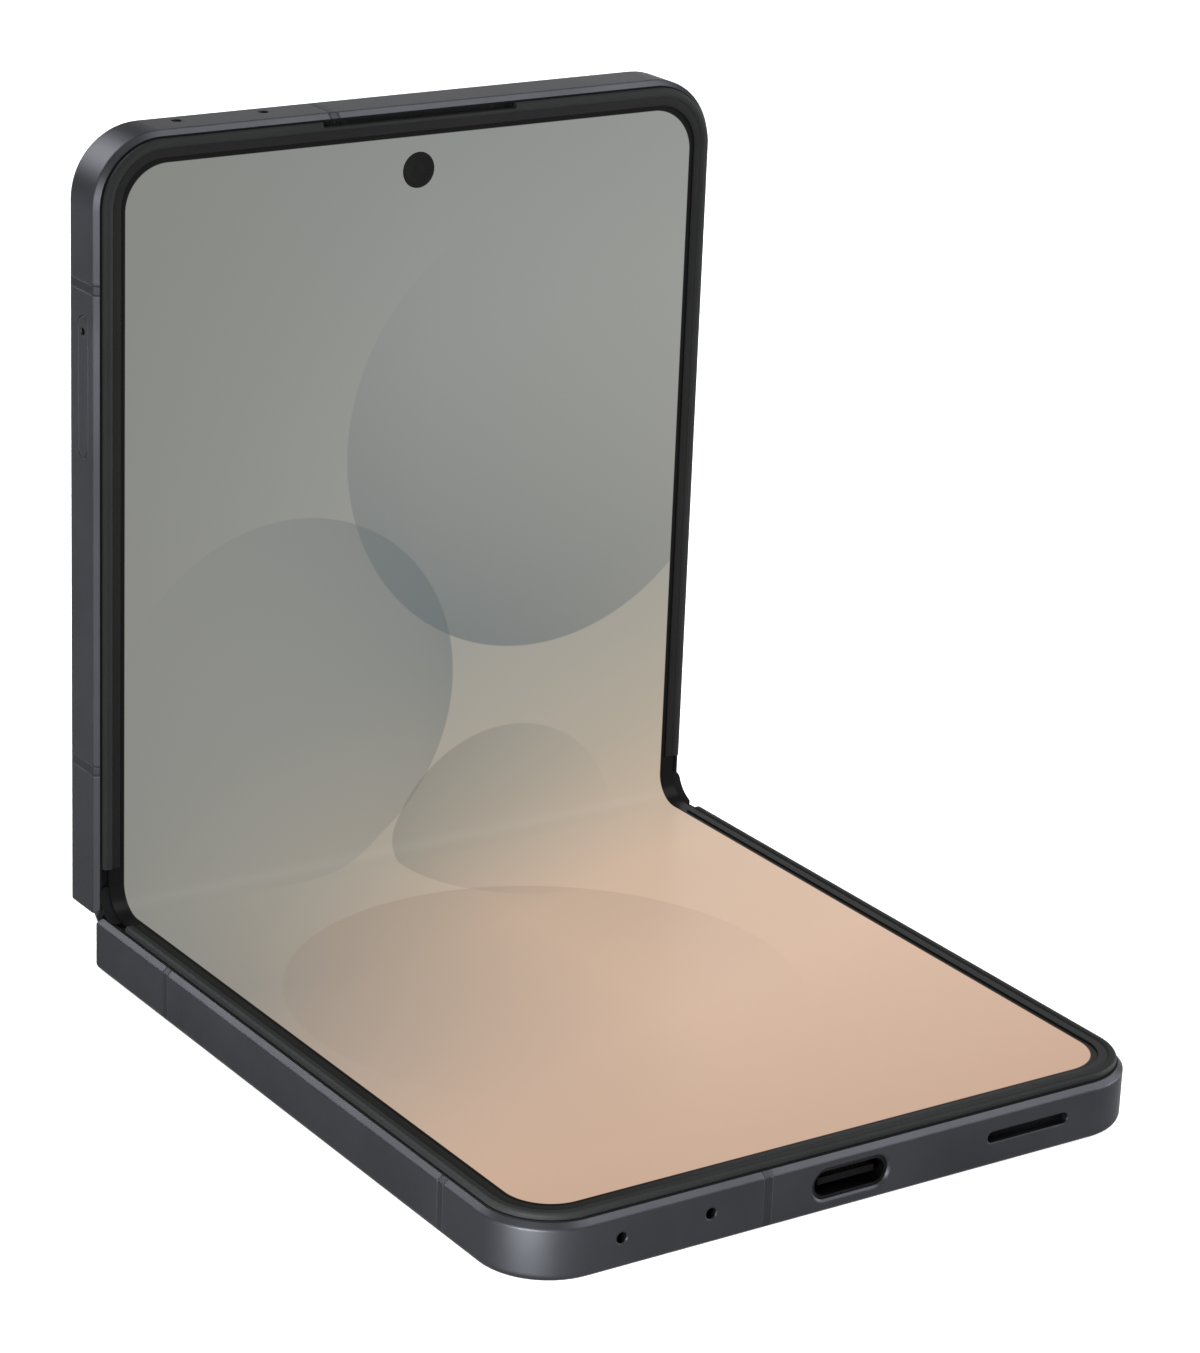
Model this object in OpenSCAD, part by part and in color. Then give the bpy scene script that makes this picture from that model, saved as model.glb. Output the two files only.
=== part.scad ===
// Foldable smartphone, half open: the lower half lies flat and the upper half stands on its fold.
// The origin is the centre of the lower half's back face, +Z is up and the free end points to -Y.
// Inside each half, x runs across, s runs from the fold end to the free end,
// and w is the height above that half's back face.

/* [Body] */
// Width of both halves
body_width = 75.2; // [73:0.1:78]
// Length of each half, from its fold end to its free end
half_length = 84.05; // [82.5:0.05:88]
// Height of the main screen's surface above the back face
screen_height = 6.5; // [6.5:0.05:7]
// Radius of the free corners, seen from the front
corner_radius = 7.5; // [6:0.25:9]
// Width of the metal rails round each half
rail_width = 1.6; // [1.5:0.05:1.8]
// Drop from the screen's surface to the rail's top
rail_drop = 0.4; // [0.3:0.05:0.5]
// Radius of the rail's edge at the back
back_edge_radius = 0.8; // [0.6:0.05:1]
// Chamfer along the rail's edge beside the screen
front_chamfer = 0.7; // [0.5:0.05:0.75]
// Radius of the rails' corners at the fold
fold_corner_radius = 0.9; // [0.5:0.05:1]

/* [Screen and bezel] */
// Thickness of the flexible screen
screen_thickness = 0.4; // [0.3:0.05:0.45]
// Thickness of the plate behind the screen
screen_plate_thickness = 0.3; // [0.2:0.05:0.35]
// Distance from the body's outside to the screen's edge
screen_inset = 1.4; // [1.38:0.02:1.5]
// Length near the fold where the screen bends freely, on each half
free_screen_length = 7; // [6.5:0.1:8]
// Radius of the bent screen's surface at rest
fold_radius = 3.1; // [2.8:0.05:3.3]
// Width of the groove between rail and bezel
groove_width = 0.15; // [0.1:0.01:0.2]
// Distance from the body's outside to the groove
groove_inset = 0.8; // [0.78:0.01:0.84]
// Thickness of the bezel's outer leg
bezel_leg = 0.4; // [0.3:0.01:0.42]
// Width of the bezel over the screen's edge
bezel_width = 1.65; // [1.4:0.05:2]
// Height of the bezel above the screen
bezel_rise = 0.3; // [0.2:0.01:0.32]
// Distance from the fold end to the bezel's end
bezel_start = 5.25; // [5:0.05:6]

/* [Back glass] */
// Thickness of the glass on both backs
glass_thickness = 0.55; // [0.4:0.01:0.6]
// Distance from the body's outside to the glass
glass_inset = 1.3; // [1.2:0.05:1.4]
// Distance from the fold end to the glass
glass_start = 2.4; // [2.2:0.1:4]
// Width of the ledge that the glass is bonded to
glass_ledge = 1.3; // [1:0.05:1.6]
// Thickness of that ledge
ledge_thickness = 0.45; // [0.3:0.05:0.6]
// Thickness of the metal floor under the screen plate
floor_thickness = 0.6; // [0.5:0.05:0.7]

/* [Hinge] */
// Half the distance between the two hinge shafts
shaft_offset = 1.95; // [1.9:0.01:2]
// Depth of the shafts below the screen's surface
shaft_depth = 1.6; // [1.58:0.01:1.65]
// Distance from a half's fold end to its shaft
shaft_setback = 1.45; // [1.4:0.01:1.5]
// Outer radius of the hinge cover about each shaft
cover_radius = 3.9; // [3.85:0.01:3.95]
// Wall of the hinge cover
cover_wall = 0.5; // [0.4:0.01:0.52]
// Clearance between the hinge cover and the halves
cover_gap = 0.15; // [0.1:0.01:0.2]
// Height of the hinge cover's edges above the shafts
cover_edge = 0.2; // [0:0.05:0.25]
// Clearance at each end of the hinge cover
cover_end_gap = 0.15; // [0.1:0.01:0.3]
// Thickness of the wall behind the hinge's hollow
hollow_wall = 0.9; // [0.7:0.05:1.2]
// Distance from the middle to each hinge unit
unit_offset = 22; // [18:0.5:24]
// Length of a hinge unit
unit_length = 14; // [13.5:0.1:15]
// Radius of the hinge shafts
shaft_radius = 0.45; // [0.4:0.01:0.5]
// Running clearance round shafts and axles
running_gap = 0.03; // [0.02:0.01:0.05]
// Module of the timing gears
gear_module = 0.2; // [0.19:0.005:0.205]
// Teeth on each arm's gear
arm_teeth = 9; // [8:1:9]
// Teeth on each idler gear
idler_teeth = 11; // [10:1:11]
// Length of the gear teeth along the shafts
gear_length = 2.3; // [2:0.1:2.4]
// Radius of the arms' hubs
hub_radius = 0.9; // [0.8:0.01:0.92]
// Length of the arms' hubs and leaves along the shafts
leaf_width = 4.7; // [4:0.1:4.8]
// Thickness of the arms' leaves
leaf_thickness = 0.45; // [0.4:0.01:0.46]
// Distance from the fold end to the leaves' far ends
leaf_reach = 13; // [12.5:0.1:13.5]
// Thickness of the plates that carry the bent screen
wing_thickness = 0.25; // [0.2:0.01:0.28]
// Thickness of the ribbon cable through the hinge
ribbon_thickness = 0.12; // [0.1:0.01:0.15]
// Width of that ribbon cable
ribbon_width = 11; // [8:0.5:12]

/* [Ports and holes] */
// Height of the charging socket's centre
socket_height = 3; // [2.8:0.05:3.1]
// Width of the charging socket's mouth
socket_width = 8.34; // [8.3:0.01:8.4]
// Height of the charging socket's mouth
socket_mouth = 2.56; // [2.5:0.01:2.6]
// Wall of the charging socket
socket_wall = 0.25; // [0.2:0.01:0.3]
// Depth of the charging socket
socket_depth = 7; // [6.5:0.1:7.5]
// Chamfer round the charging socket's opening
socket_chamfer = 0.25; // [0.15:0.01:0.3]
// Radius of the microphone holes
microphone_radius = 0.6; // [0.4:0.05:0.7]
// Distance from the side to the outer microphone
microphone_margin = 11.1; // [10:0.1:12]
// Distance between the two microphones
microphone_pitch = 10.1; // [9:0.1:11]
// Distance from the side to the middle of the loudspeaker's slot
speaker_side = 15.95; // [15:0.05:17]
// Length of the loudspeaker's slot
speaker_slot = 10.1; // [8:0.1:12]
// Height of the loudspeaker's slot
speaker_mouth = 1.25; // [0.8:0.05:1.4]
// Length of the earpiece's slot
earpiece_slot = 23.5; // [20:0.5:26]
// Width of the plastic antenna bands
band_width = 1; // [0.8:0.05:1.2]
// Depth of the antenna bands into the rail
band_depth = 1; // [0.8:0.05:1.1]

/* [Keys and card tray] */
// Length of the volume key
volume_length = 17; // [15:0.5:18]
// Distance from the free end to the volume key's middle
volume_drop = 26.55; // [26.2:0.05:28]
// Length of the side key
side_key_length = 12; // [10:0.5:14]
// Distance between the volume key and the side key
key_spacing = 3; // [2:0.1:5]
// Height of both keys
key_height = 2; // [1.6:0.05:2.2]
// Travel of a key
key_travel = 0.25; // [0.15:0.01:0.3]
// Clearance round keys and card tray
slot_gap = 0.08; // [0.06:0.01:0.12]
// Length of the card tray's front
tray_length = 14.9; // [14:0.1:15.5]
// Distance from the free end to the card tray's middle
tray_drop = 26.5; // [26:0.05:27.5]
// Height of the card tray's front
tray_height = 2; // [1.8:0.05:2.1]
// Depth of the card tray's carrier
tray_depth = 13.4; // [13:0.1:14]

/* [Cameras] */
// Radius of the front camera's window
front_camera_radius = 1.95; // [1.7:0.05:2.1]
// Distance from the free end to the front camera
front_camera_drop = 6.8; // [6.4:0.1:7.5]
// Outer radius of the rear cameras' rings
ring_radius = 5.8; // [5:0.1:6.2]
// Height of the rear cameras' rings above the glass
ring_rise = 1.3; // [0.8:0.1:1.5]
// Width of the rear cameras' rings
ring_width = 0.9; // [0.6:0.05:1.2]
// Distance from the side to the outer rear camera's middle
camera_side = 11.6; // [11.2:0.1:12.6]
// Distance between the rear cameras
camera_pitch = 13.6; // [13:0.1:14.5]
// Distance from the free end to the rear cameras
camera_drop = 11; // [10.4:0.1:11.2]

/* [Inner parts] */
// Thickness of the circuit boards
board_thickness = 0.6; // [0.5:0.05:0.65]
// Length of the sub board, with the charging socket
sub_board_length = 18.9; // [17:0.1:20]
// Length of the main board's full width
main_board_length = 20.1; // [19:0.1:22]
// Distance from the free end to the main board's full width
main_board_drop = 18.55; // [18:0.05:19.5]
// Width of the space beside the batteries
battery_side_gap = 3; // [2.8:0.1:6]
// Distance between each battery and its board
battery_end_gap = 1.5; // [1:0.1:3]
// Distance from the fold end to the batteries
battery_start = 14.5; // [14.5:0.1:15]
// Outer radius of the charging coil
coil_radius = 20; // [18:0.5:21]
// Inner radius of the charging coil
coil_hole = 9; // [7:0.5:11]

/* [Hidden] */

$fn = 48;
eps = 0.01;
far = 100;

// Levels above a half's back face
rail_top = screen_height - rail_drop;
screen_under = screen_height - screen_thickness;
deck = screen_under - screen_plate_thickness;
floor_under = deck - floor_thickness;
bezel_top = screen_height + bezel_rise;
glass_top = glass_thickness;

// Plan of a half
half_width = body_width / 2;
corner_start = half_length - corner_radius;
inner_x = half_width - rail_width;
inner_end = half_length - rail_width;
bezel_inset = groove_inset + groove_width;
bezel_strip_start = 0.6;
bezel_strip_height = 0.35;
glass_gap = 0.03;

// Hinge geometry, in a half's own section
shaft_s = shaft_setback;
shaft_w = screen_height - shaft_depth;
hollow_radius = cover_radius + cover_gap;
hollow_end = shaft_s + hollow_radius + hollow_wall;
cover_inner = cover_radius - cover_wall;
cover_half = inner_x - cover_end_gap;

// Places of the halves and of the hinge in the whole phone, opened to a right angle
turn = 45;
lower_fold_y = half_length / 2;
lower_shaft_y = lower_fold_y - shaft_s;
upper_shaft_y = lower_shaft_y + 2 * shaft_offset * cos(turn);
upper_shaft_z = shaft_w + 2 * shaft_offset * sin(turn);
upper_back_y = upper_shaft_y + shaft_w;
upper_fold_z = upper_shaft_z - shaft_s;

// Timing gears
arm_pitch = gear_module * arm_teeth / 2;
idler_pitch = gear_module * idler_teeth / 2;
gear_addendum = 0.8 * gear_module;
gear_dedendum = 1.05 * gear_module;
gear_backlash = 0.3 * gear_module;
arm_tip = arm_pitch + gear_addendum;
idler_tip = idler_pitch + gear_addendum;
idler_u = idler_pitch + 0.01;
idler_rise = shaft_offset - idler_u;
idler_v = -sqrt(pow(arm_pitch + idler_pitch, 2) - pow(idler_rise, 2));
idler_axle = 0.35;
tip_gap = 0.08;

// Stations along a hinge unit, from its outer end
cheek = 1.2;
gear_start = cheek + 0.1;
gear_end = gear_start + gear_length;
leaf_start = gear_end + 0.05;
leaf_end = leaf_start + leaf_width;
spring_start = leaf_end + 1;
spring_end = unit_length - cheek;

// Arm leaves in the halves
leaf_low = deck - 0.05 - leaf_thickness;
leaf_gap = 0.1;
screw_radius = 0.5;
screw_head = 0.9;
screw_head_height = 0.25;
screw_length = 1.1;
arm_screw_places = [8.2, 11.2];
pad_margin = 0.8;
notch_end = 4.2;
wing_tip = 0.15;
wing_width = cover_half - 1.65;
cap_length = 1.25;
notch_margin = 0.3;
cheek_boss = 1;
spring_radius = 0.9;
spring_discs = 6;
spring_pitch = (spring_end - spring_start) / spring_discs;
axle_start = 0.4;
axle_end = gear_end + 0.9;
shaft_end = 0.1;
cap_crest = 1.05;
ribbon_depth = shaft_depth - 0.65;
ribbon_slot = ribbon_width + 1.6;

// Sockets, holes and slots
socket_outer_width = socket_width + 2 * socket_wall;
socket_outer_height = socket_mouth + 2 * socket_wall;
socket_fit = 0.05;
socket_setback = 0.35;
speaker_x = half_width - speaker_side;
speaker_height = 3.25;
lower_microphone_height = 3.3;
upper_microphone_height = 2.4;
microphone_places = [microphone_margin - half_width, microphone_margin + microphone_pitch - half_width];
microphone_size = [3, 1.2, 2];
lower_band_places = [15.35, half_length - 14.15];
upper_band_places = [16.2, half_length - 15.85];
end_band_x = -9.9;
tongue_width = 6.69;
tongue_thickness = 0.7;
tongue_setback = 0.6;
socket_back = 0.4;
speaker_margin = 2.5;
volume_place = half_length - volume_drop;
side_key_place = volume_place - volume_length / 2 - key_spacing - side_key_length / 2;
tray_place = half_length - tray_drop;
key_level = 3.2;
volume_rise = 0.3;
side_key_rise = 0.08;
tray_level = 3.3;
eject_radius = 0.45;
eject_margin = 1.6;
mesh_thickness = 0.2;
mesh_depth = 0.7;
earpiece_outer = 0.7;
earpiece_inner = 1.25;
earpiece_floor = deck + 0.2;
key_flange = 0.65;
key_flange_margin = 0.5;
key_back_x = inner_x - key_travel - key_flange;
pivot_radius = 0.2;
tray_front = 1.1;
switch_size = [1.3, 3, 2];
carrier_width = 11;
carrier_start = tray_place - tray_length / 2 + 0.9;
carrier_thickness = 0.8;
carrier_rim = 1;
card_ledge = 0.45;
card_thickness = 0.7;
reader_wall = 0.8;
reader_side_gap = 0.12;
reader_end_gap = 0.9;
reader_depth = tray_front + tray_depth + reader_end_gap - rail_width;
reader_start = 0.3 - inner_x;
reader_low = tray_level - 0.9;

// Inner parts
board_low = socket_height + socket_outer_height / 2;
board_margin = 1.5;
board_side = inner_x - 2.6;
board_screw_inset = 3.4;
board_screw_x = board_side - board_screw_inset;
board_screw_grip = 0.4;
board_screw_head = 1.1;
board_screw_head_height = 0.5;
bay_low = glass_top + 0.05;
coil_thickness = 0.25;
shield_thickness = 0.15;
battery_low = bay_low + coil_thickness + shield_thickness + 0.05;
battery_high = floor_under - 0.05;
battery_round = 2;
sub_board_end = inner_end - board_margin;
sub_board_start = sub_board_end - sub_board_length;
sub_board_edge = speaker_x - speaker_slot / 2 - speaker_margin - 0.7;
sub_board_screw_places = [
    [-board_screw_x, sub_board_start + 3],
    [-board_screw_x, sub_board_end - 5],
    [sub_board_edge - 4.4, sub_board_start + 3]];
motor_size = [10, 9];
motor_x = board_side - 9.4;
main_board_step = half_length - main_board_drop;
main_board_start = main_board_step - main_board_length;
main_board_tail = 10;
main_board_tail_side = 7;
main_board_screw_places = [
    [-board_screw_x, main_board_start + 2.6],
    [board_screw_x, main_board_start + 2.6],
    [-board_screw_x, main_board_step + 6.5]];
shield_wall = 0.2;
shield_height = 2.4;
shield_margin = 1.55;
shield_start_x = reader_start + reader_depth + 3.9;
shield_end_x = board_side - 11.4;
battery_width = 2 * (inner_x - battery_side_gap);
lower_battery_length = sub_board_start - battery_end_gap - battery_start;
upper_battery_length = main_board_start - battery_end_gap - battery_start;
magnet_size = [2, 3.2, 3.4];
magnet_place = half_length - 11.45;
coil_place = battery_start + lower_battery_length / 2;
coil_shield_side = 2 * coil_radius + 2;
front_camera_s = half_length - front_camera_drop;
camera_s = half_length - camera_drop;
camera_places = [half_width - camera_side, half_width - camera_side - camera_pitch];
camera_window = ring_radius - ring_width;
flash_x = camera_places[1] - camera_pitch + 4.4;
flash_radius = 1.6;
ring_lip = camera_window - 0.6;
lens_depth = 0.6;
lens_thickness = 0.5;
camera_box = 9.6;
camera_box_height = 4;
front_camera_box = [6, 6, 2.95];
earpiece_size = [10, 5.4, 2.95];
earpiece_gap = 0.7;
earpiece_x = microphone_places[1] + microphone_size[0] / 2 + earpiece_gap + earpiece_size[0] / 2;
cover_screen_start = 11;
cover_screen_side_gap = 8.6;
cover_screen_camera_gap = 6.25;
cover_screen_end = camera_s - ring_radius - cover_screen_camera_gap;

// ---- Placing ----

module on_lower() {
    translate([0, lower_fold_y, 0]) mirror([0, 1, 0]) children();
}

module on_upper() {
    translate([0, upper_back_y, upper_fold_z]) rotate([90, 0, 0]) children();
}

// The hinge's own frame: x across, y from the lower shaft to the upper, z towards the screen
module on_hinge() {
    translate([0, (lower_shaft_y + upper_shaft_y) / 2, (shaft_w + upper_shaft_z) / 2])
        rotate([turn, 0, 0]) children();
}

module both_sides() {
    children();
    mirror([1, 0, 0]) children();
}

// Stands a flat shape up and runs it along x: its x becomes s, its y becomes w
module along_x(length) {
    translate([-length / 2, 0, 0]) rotate([90, 0, 90]) linear_extrude(length) children();
}

// ---- Outlines of a half ----

// The half's outline, drawn in by inset and starting at s = start
module half_plan(inset, start) {
    radius = corner_radius - inset;
    side = half_width - inset;
    translate([-side, start]) square([2 * side, corner_start - start]);
    translate([radius - side, start]) square([2 * (side - radius), half_length - inset - start]);
    for (x = [radius - side, side - radius]) translate([x, corner_start]) circle(radius);
}

module half_plate(low, thickness, inset, start) {
    translate([0, 0, low]) linear_extrude(thickness) half_plan(inset, start);
}

// Sweeps a section round the sides and the free end; the section's x is the inset, its y is w
module rim_sweep(start) {
    both_sides() {
        translate([half_width, corner_start, 0]) rotate([90, 0, 0])
            linear_extrude(corner_start - start) mirror([1, 0]) children();
        translate([half_width - corner_radius, corner_start, 0])
            rotate_extrude(angle = 90) translate([corner_radius, 0]) mirror([1, 0]) children();
    }
    translate([0, half_length, 0])
        along_x(body_width - 2 * corner_radius) mirror([1, 0]) children();
}

module rail_section() {
    difference() {
        union() {
            translate([back_edge_radius, 0])
                square([rail_width - back_edge_radius, rail_top / 2]);
            translate([0, back_edge_radius])
                square([rail_width, rail_top - back_edge_radius - front_chamfer]);
            translate([back_edge_radius, back_edge_radius]) circle(back_edge_radius);
            translate([0, rail_top - front_chamfer]) polygon([
                [0, 0], [rail_width, 0], [rail_width, front_chamfer], [front_chamfer, front_chamfer]]);
        }
        translate([glass_inset, -1]) square([rail_width, 1 + glass_top]);
        translate([groove_inset, deck]) square([rail_width, far]);
    }
}

module bezel_section() {
    round = bezel_rise + 0.15;
    difference() {
        union() {
            translate([bezel_inset, deck]) square([bezel_leg, bezel_top - round - deck]);
            translate([bezel_inset + round, bezel_top - round])
                square([bezel_width - round, round]);
            translate([bezel_inset + round, bezel_top - round]) circle(round);
        }
        translate([bezel_inset + bezel_leg, deck - 1])
            square([far, screen_height + 0.02 - deck + 1]);
    }
}

// What a rounded corner at the origin leaves over, for cutting along x
module corner_waste(radius) {
    difference() {
        translate([-1, -1]) square(radius + 1);
        translate([radius, radius]) circle(radius);
    }
}

module stadium(length, height) {
    square([length - height, height], center = true);
    for (x = [-1, 1]) translate([x * (length - height) / 2, 0]) circle(height / 2);
}

// Lays a flat shape on the free end's face and runs it inwards from a depth
module from_end(x, w, from, to) {
    translate([x, half_length - from, w]) rotate([90, 0, 0]) linear_extrude(to - from) children();
}

// Lays a flat shape on a side's face (side 1 or -1): its x becomes s, its y becomes w
module from_side(side, s, w, from, to) {
    x0 = side > 0 ? half_width - to : from - half_width;
    translate([x0, s, w]) rotate([90, 0, 90]) linear_extrude(to - from) children();
}

// A slot's chamfered mouth on the free end, widening outwards
module slot_mouth(x, w, length, height, chamfer) {
    for (end = [-1, 1])
        translate([x + end * (length - height) / 2, half_length + eps, w]) rotate([90, 0, 0])
            cylinder(h = chamfer + eps, r1 = height / 2 + chamfer, r2 = height / 2);
    translate([x, half_length + eps, w]) rotate([90, 0, -90])
        linear_extrude(length - height, center = true) polygon([
            [0, -height / 2 - chamfer], [chamfer + eps, -height / 2],
            [chamfer + eps, height / 2], [0, height / 2 + chamfer]]);
}

// ---- The frames ----

module band_blocks(places, end_x) {
    height = rail_top + 2;
    for (s = places) both_sides()
        translate([half_width - band_depth, s - band_width / 2, -1])
            cube([band_depth + 1, band_width, height]);
    translate([end_x - band_width / 2, half_length - band_depth, -1])
        cube([band_width, band_depth + 1, height]);
}

module rail_body() {
    difference() {
        rim_sweep(0) rail_section();
        along_x(body_width + 2) corner_waste(fold_corner_radius);
        translate([0, 0, rail_top]) mirror([0, 0, 1])
            along_x(body_width + 2) corner_waste(fold_corner_radius);
    }
}

// The leaves' pockets, and the screw holes under them
module arm_pockets() {
    both_sides() {
        translate([leaf_x() - leaf_gap, 0, leaf_low - eps])
            cube([leaf_width + 2 * leaf_gap, leaf_reach + leaf_gap, far]);
        for (s = arm_screw_places) translate([leaf_x() + leaf_width / 2, s, leaf_low - screw_length])
            cylinder(r = screw_radius, h = screw_length);
    }
}

// Inner edge of a leaf on the right-hand hinge unit
function leaf_x() = unit_offset + unit_length / 2 - leaf_end;

// The hollow for the hinge: round about the shaft, and flat from there to the fold end
module hinge_hollow() {
    translate([0, shaft_s, shaft_w]) rotate([0, 90, 0])
        cylinder(r = hollow_radius, h = 2 * inner_x, center = true);
    translate([-inner_x, shaft_s - far, shaft_w - hollow_radius]) cube([2 * inner_x, far, hollow_radius]);
}

module half_frame(places) {
    difference() {
        union() {
            rail_body();
            half_plate(floor_under, floor_thickness, rail_width - 0.1, hollow_end - hollow_wall);
            difference() {
                half_plate(glass_top, ledge_thickness, rail_width - 0.1, hollow_end - hollow_wall);
                half_plate(0, far, glass_inset + glass_ledge, hollow_end);
            }
            difference() {
                translate([-inner_x - 0.1, 0, 0]) cube([2 * inner_x + 0.2, hollow_end, deck]);
                along_x(body_width) corner_waste(fold_corner_radius);
            }
            both_sides() translate([leaf_x() - pad_margin, hollow_end - 0.1, floor_under - 1])
                cube([leaf_width + 2 * pad_margin, leaf_reach + pad_margin - hollow_end, 1 + eps]);
        }
        hinge_hollow();
        half_plate(-1, 1 + glass_top, glass_inset, glass_start);
        band_blocks(places, end_band_x);
        arm_pockets();
        translate([-ribbon_slot / 2, 0, floor_under - eps]) cube([ribbon_slot, leaf_reach, far]);
    }
}

module lower_frame() on_lower() {
    color([0.26, 0.27, 0.29]) difference() {
        half_frame(lower_band_places);
        from_end(0, socket_height, -1, rail_width + 1)
            stadium(socket_outer_width + 2 * socket_fit, socket_outer_height + 2 * socket_fit);
        slot_mouth(0, socket_height, socket_outer_width + 2 * socket_fit,
            socket_outer_height + 2 * socket_fit, socket_chamfer);
        from_end(speaker_x, speaker_height, -1, rail_width + 1) stadium(speaker_slot, speaker_mouth);
        for (x = microphone_places)
            from_end(x, lower_microphone_height, -1, rail_width + 1) circle(microphone_radius);
        board_screw_holes(sub_board_screw_places);
    }
}

module upper_frame() on_upper() {
    color([0.26, 0.27, 0.29]) difference() {
        half_frame(upper_band_places);
        for (x = microphone_places)
            from_end(x, upper_microphone_height, -1, rail_width + 1) circle(microphone_radius);
        from_side(1, volume_place, key_level, -1, rail_width + 1)
            stadium(volume_length + 2 * slot_gap, key_height + 2 * slot_gap);
        from_side(1, side_key_place, key_level, -1, rail_width + 1)
            stadium(side_key_length + 2 * slot_gap, key_height + 2 * slot_gap);
        from_side(-1, tray_place, tray_level, -1, rail_width + 1)
            stadium(tray_length + 2 * slot_gap, tray_height + 2 * slot_gap);
        translate([0, front_camera_s, floor_under - 1]) cylinder(r = front_camera_radius, h = far);
        earpiece_recess();
        board_screw_holes(main_board_screw_places);
    }
}

module antenna_bands(places) {
    color([0.2, 0.2, 0.22]) intersection() {
        rail_body();
        band_blocks(places, end_band_x);
    }
}

module lower_antenna_bands() on_lower() antenna_bands(lower_band_places);

module upper_antenna_bands() on_upper() antenna_bands(upper_band_places);

// ---- Bezels, screens and glass ----

// The raised frame round the screen, with a low strip that runs on to the fold
module bezel() {
    rim_sweep(bezel_start) bezel_section();
    both_sides() translate([half_width - bezel_inset - bezel_leg, bezel_strip_start, deck])
        cube([bezel_leg, bezel_start - bezel_strip_start + eps, bezel_strip_height]);
}

module earpiece_recess() {
    translate([-earpiece_slot / 2, half_length - earpiece_inner, earpiece_floor])
        cube([earpiece_slot, earpiece_inner - earpiece_outer, far]);
}

module lower_bezel() on_lower() color([0.15, 0.15, 0.16]) bezel();

module upper_bezel() on_upper() color([0.15, 0.15, 0.16]) difference() {
    bezel();
    earpiece_recess();
}

module front_camera_hole() {
    translate([0, front_camera_s, 0]) cylinder(r = front_camera_radius, h = far);
}

module screen_plate() {
    half_plate(deck, screen_plate_thickness, screen_inset, free_screen_length);
}

module screen() {
    half_plate(screen_under, screen_thickness, screen_inset, free_screen_length);
}

module lower_screen_plate() on_lower() color([0.5, 0.5, 0.52]) screen_plate();

module upper_screen_plate() on_upper() color([0.5, 0.5, 0.52]) difference() {
    screen_plate();
    front_camera_hole();
}

module lower_screen() on_lower() color([0.83, 0.7, 0.61]) screen();

module upper_screen() on_upper() color([0.55, 0.56, 0.55]) difference() {
    screen();
    front_camera_hole();
}

// Plate that carries the free part of the screen, cut back round the hinge units and the ribbon
module wing_plate() {
    reach = free_screen_length - 0.1;
    difference() {
        translate([-wing_width, wing_tip, deck]) cube([2 * wing_width, reach - wing_tip, wing_thickness]);
        both_sides() translate([unit_offset - unit_length / 2 - notch_margin, -1, 0])
            cube([unit_length + 2 * notch_margin, notch_end + 1, far]);
        translate([-ribbon_slot / 2, -1, 0]) cube([ribbon_slot, notch_end + 1, far]);
    }
}

module lower_wing_plate() on_lower() color([0.6, 0.6, 0.62]) wing_plate();

module upper_wing_plate() on_upper() color([0.6, 0.6, 0.62]) wing_plate();

module back_glass() {
    half_plate(0, glass_thickness, glass_inset + glass_gap, glass_start + glass_gap);
}

module lower_back_glass() on_lower() color([0.22, 0.23, 0.25]) back_glass();

module cover_glass() on_upper() color([0.08, 0.08, 0.09]) difference() {
    back_glass();
    for (x = camera_places) translate([x, camera_s, -1]) cylinder(r = ring_radius + glass_gap, h = 9);
    translate([flash_x, camera_s, -1]) cylinder(r = flash_radius + glass_gap, h = 9);
}

// A band of screen that follows both halves round the fold, depth below the screen's surface
module fold_band(width, depth, thickness, reach) {
    corner_y = upper_back_y - screen_height;
    radius = fold_radius + depth;
    translate([0, corner_y - fold_radius, screen_height + fold_radius]) along_x(width) {
        intersection() {
            difference() {
                circle(radius + thickness, $fn = 96);
                circle(radius, $fn = 96);
            }
            translate([0, -radius - thickness]) square(radius + thickness);
        }
        lower_run = reach - (lower_fold_y - corner_y + fold_radius);
        translate([-lower_run, -radius - thickness]) square([lower_run, thickness]);
        upper_run = reach - (screen_height + fold_radius - upper_fold_z);
        translate([radius, 0]) square([thickness, upper_run]);
    }
}

module fold_screen() color([0.7, 0.66, 0.6])
    fold_band(2 * (half_width - screen_inset), 0, screen_thickness, free_screen_length);

module hinge_ribbon() color([0.75, 0.5, 0.2])
    fold_band(ribbon_width, ribbon_depth, ribbon_thickness, leaf_reach - 0.6);

// ---- Hinge ----

// Runs a section of the hinge along x, between two stations of the right-hand unit,
// which are counted from the unit's outer end, and again on the left
module unit_run(from, to) {
    both_sides() translate([unit_offset + unit_length / 2 - to, 0, 0])
        rotate([90, 0, 90]) linear_extrude(to - from) children();
}

module at_shafts() {
    for (u = [-shaft_offset, shaft_offset]) translate([u, 0]) children();
}

module at_idlers() {
    for (u = [-idler_u, idler_u]) translate([u, idler_v]) children();
}

// Two circles about the shafts and the flat between them
module cover_round(radius) {
    at_shafts() circle(radius, $fn = 96);
    square([2 * shaft_offset, 2 * radius], center = true);
}

// The same, filled only up to the cover's edges
module cover_fill(radius) {
    intersection() {
        cover_round(radius);
        translate([-far / 2, cover_edge - far]) square(far);
    }
}

module hinge_cover() on_hinge() color([0.3, 0.31, 0.33]) along_x(2 * cover_half) difference() {
    cover_fill(cover_radius);
    cover_round(cover_inner);
}

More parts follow.
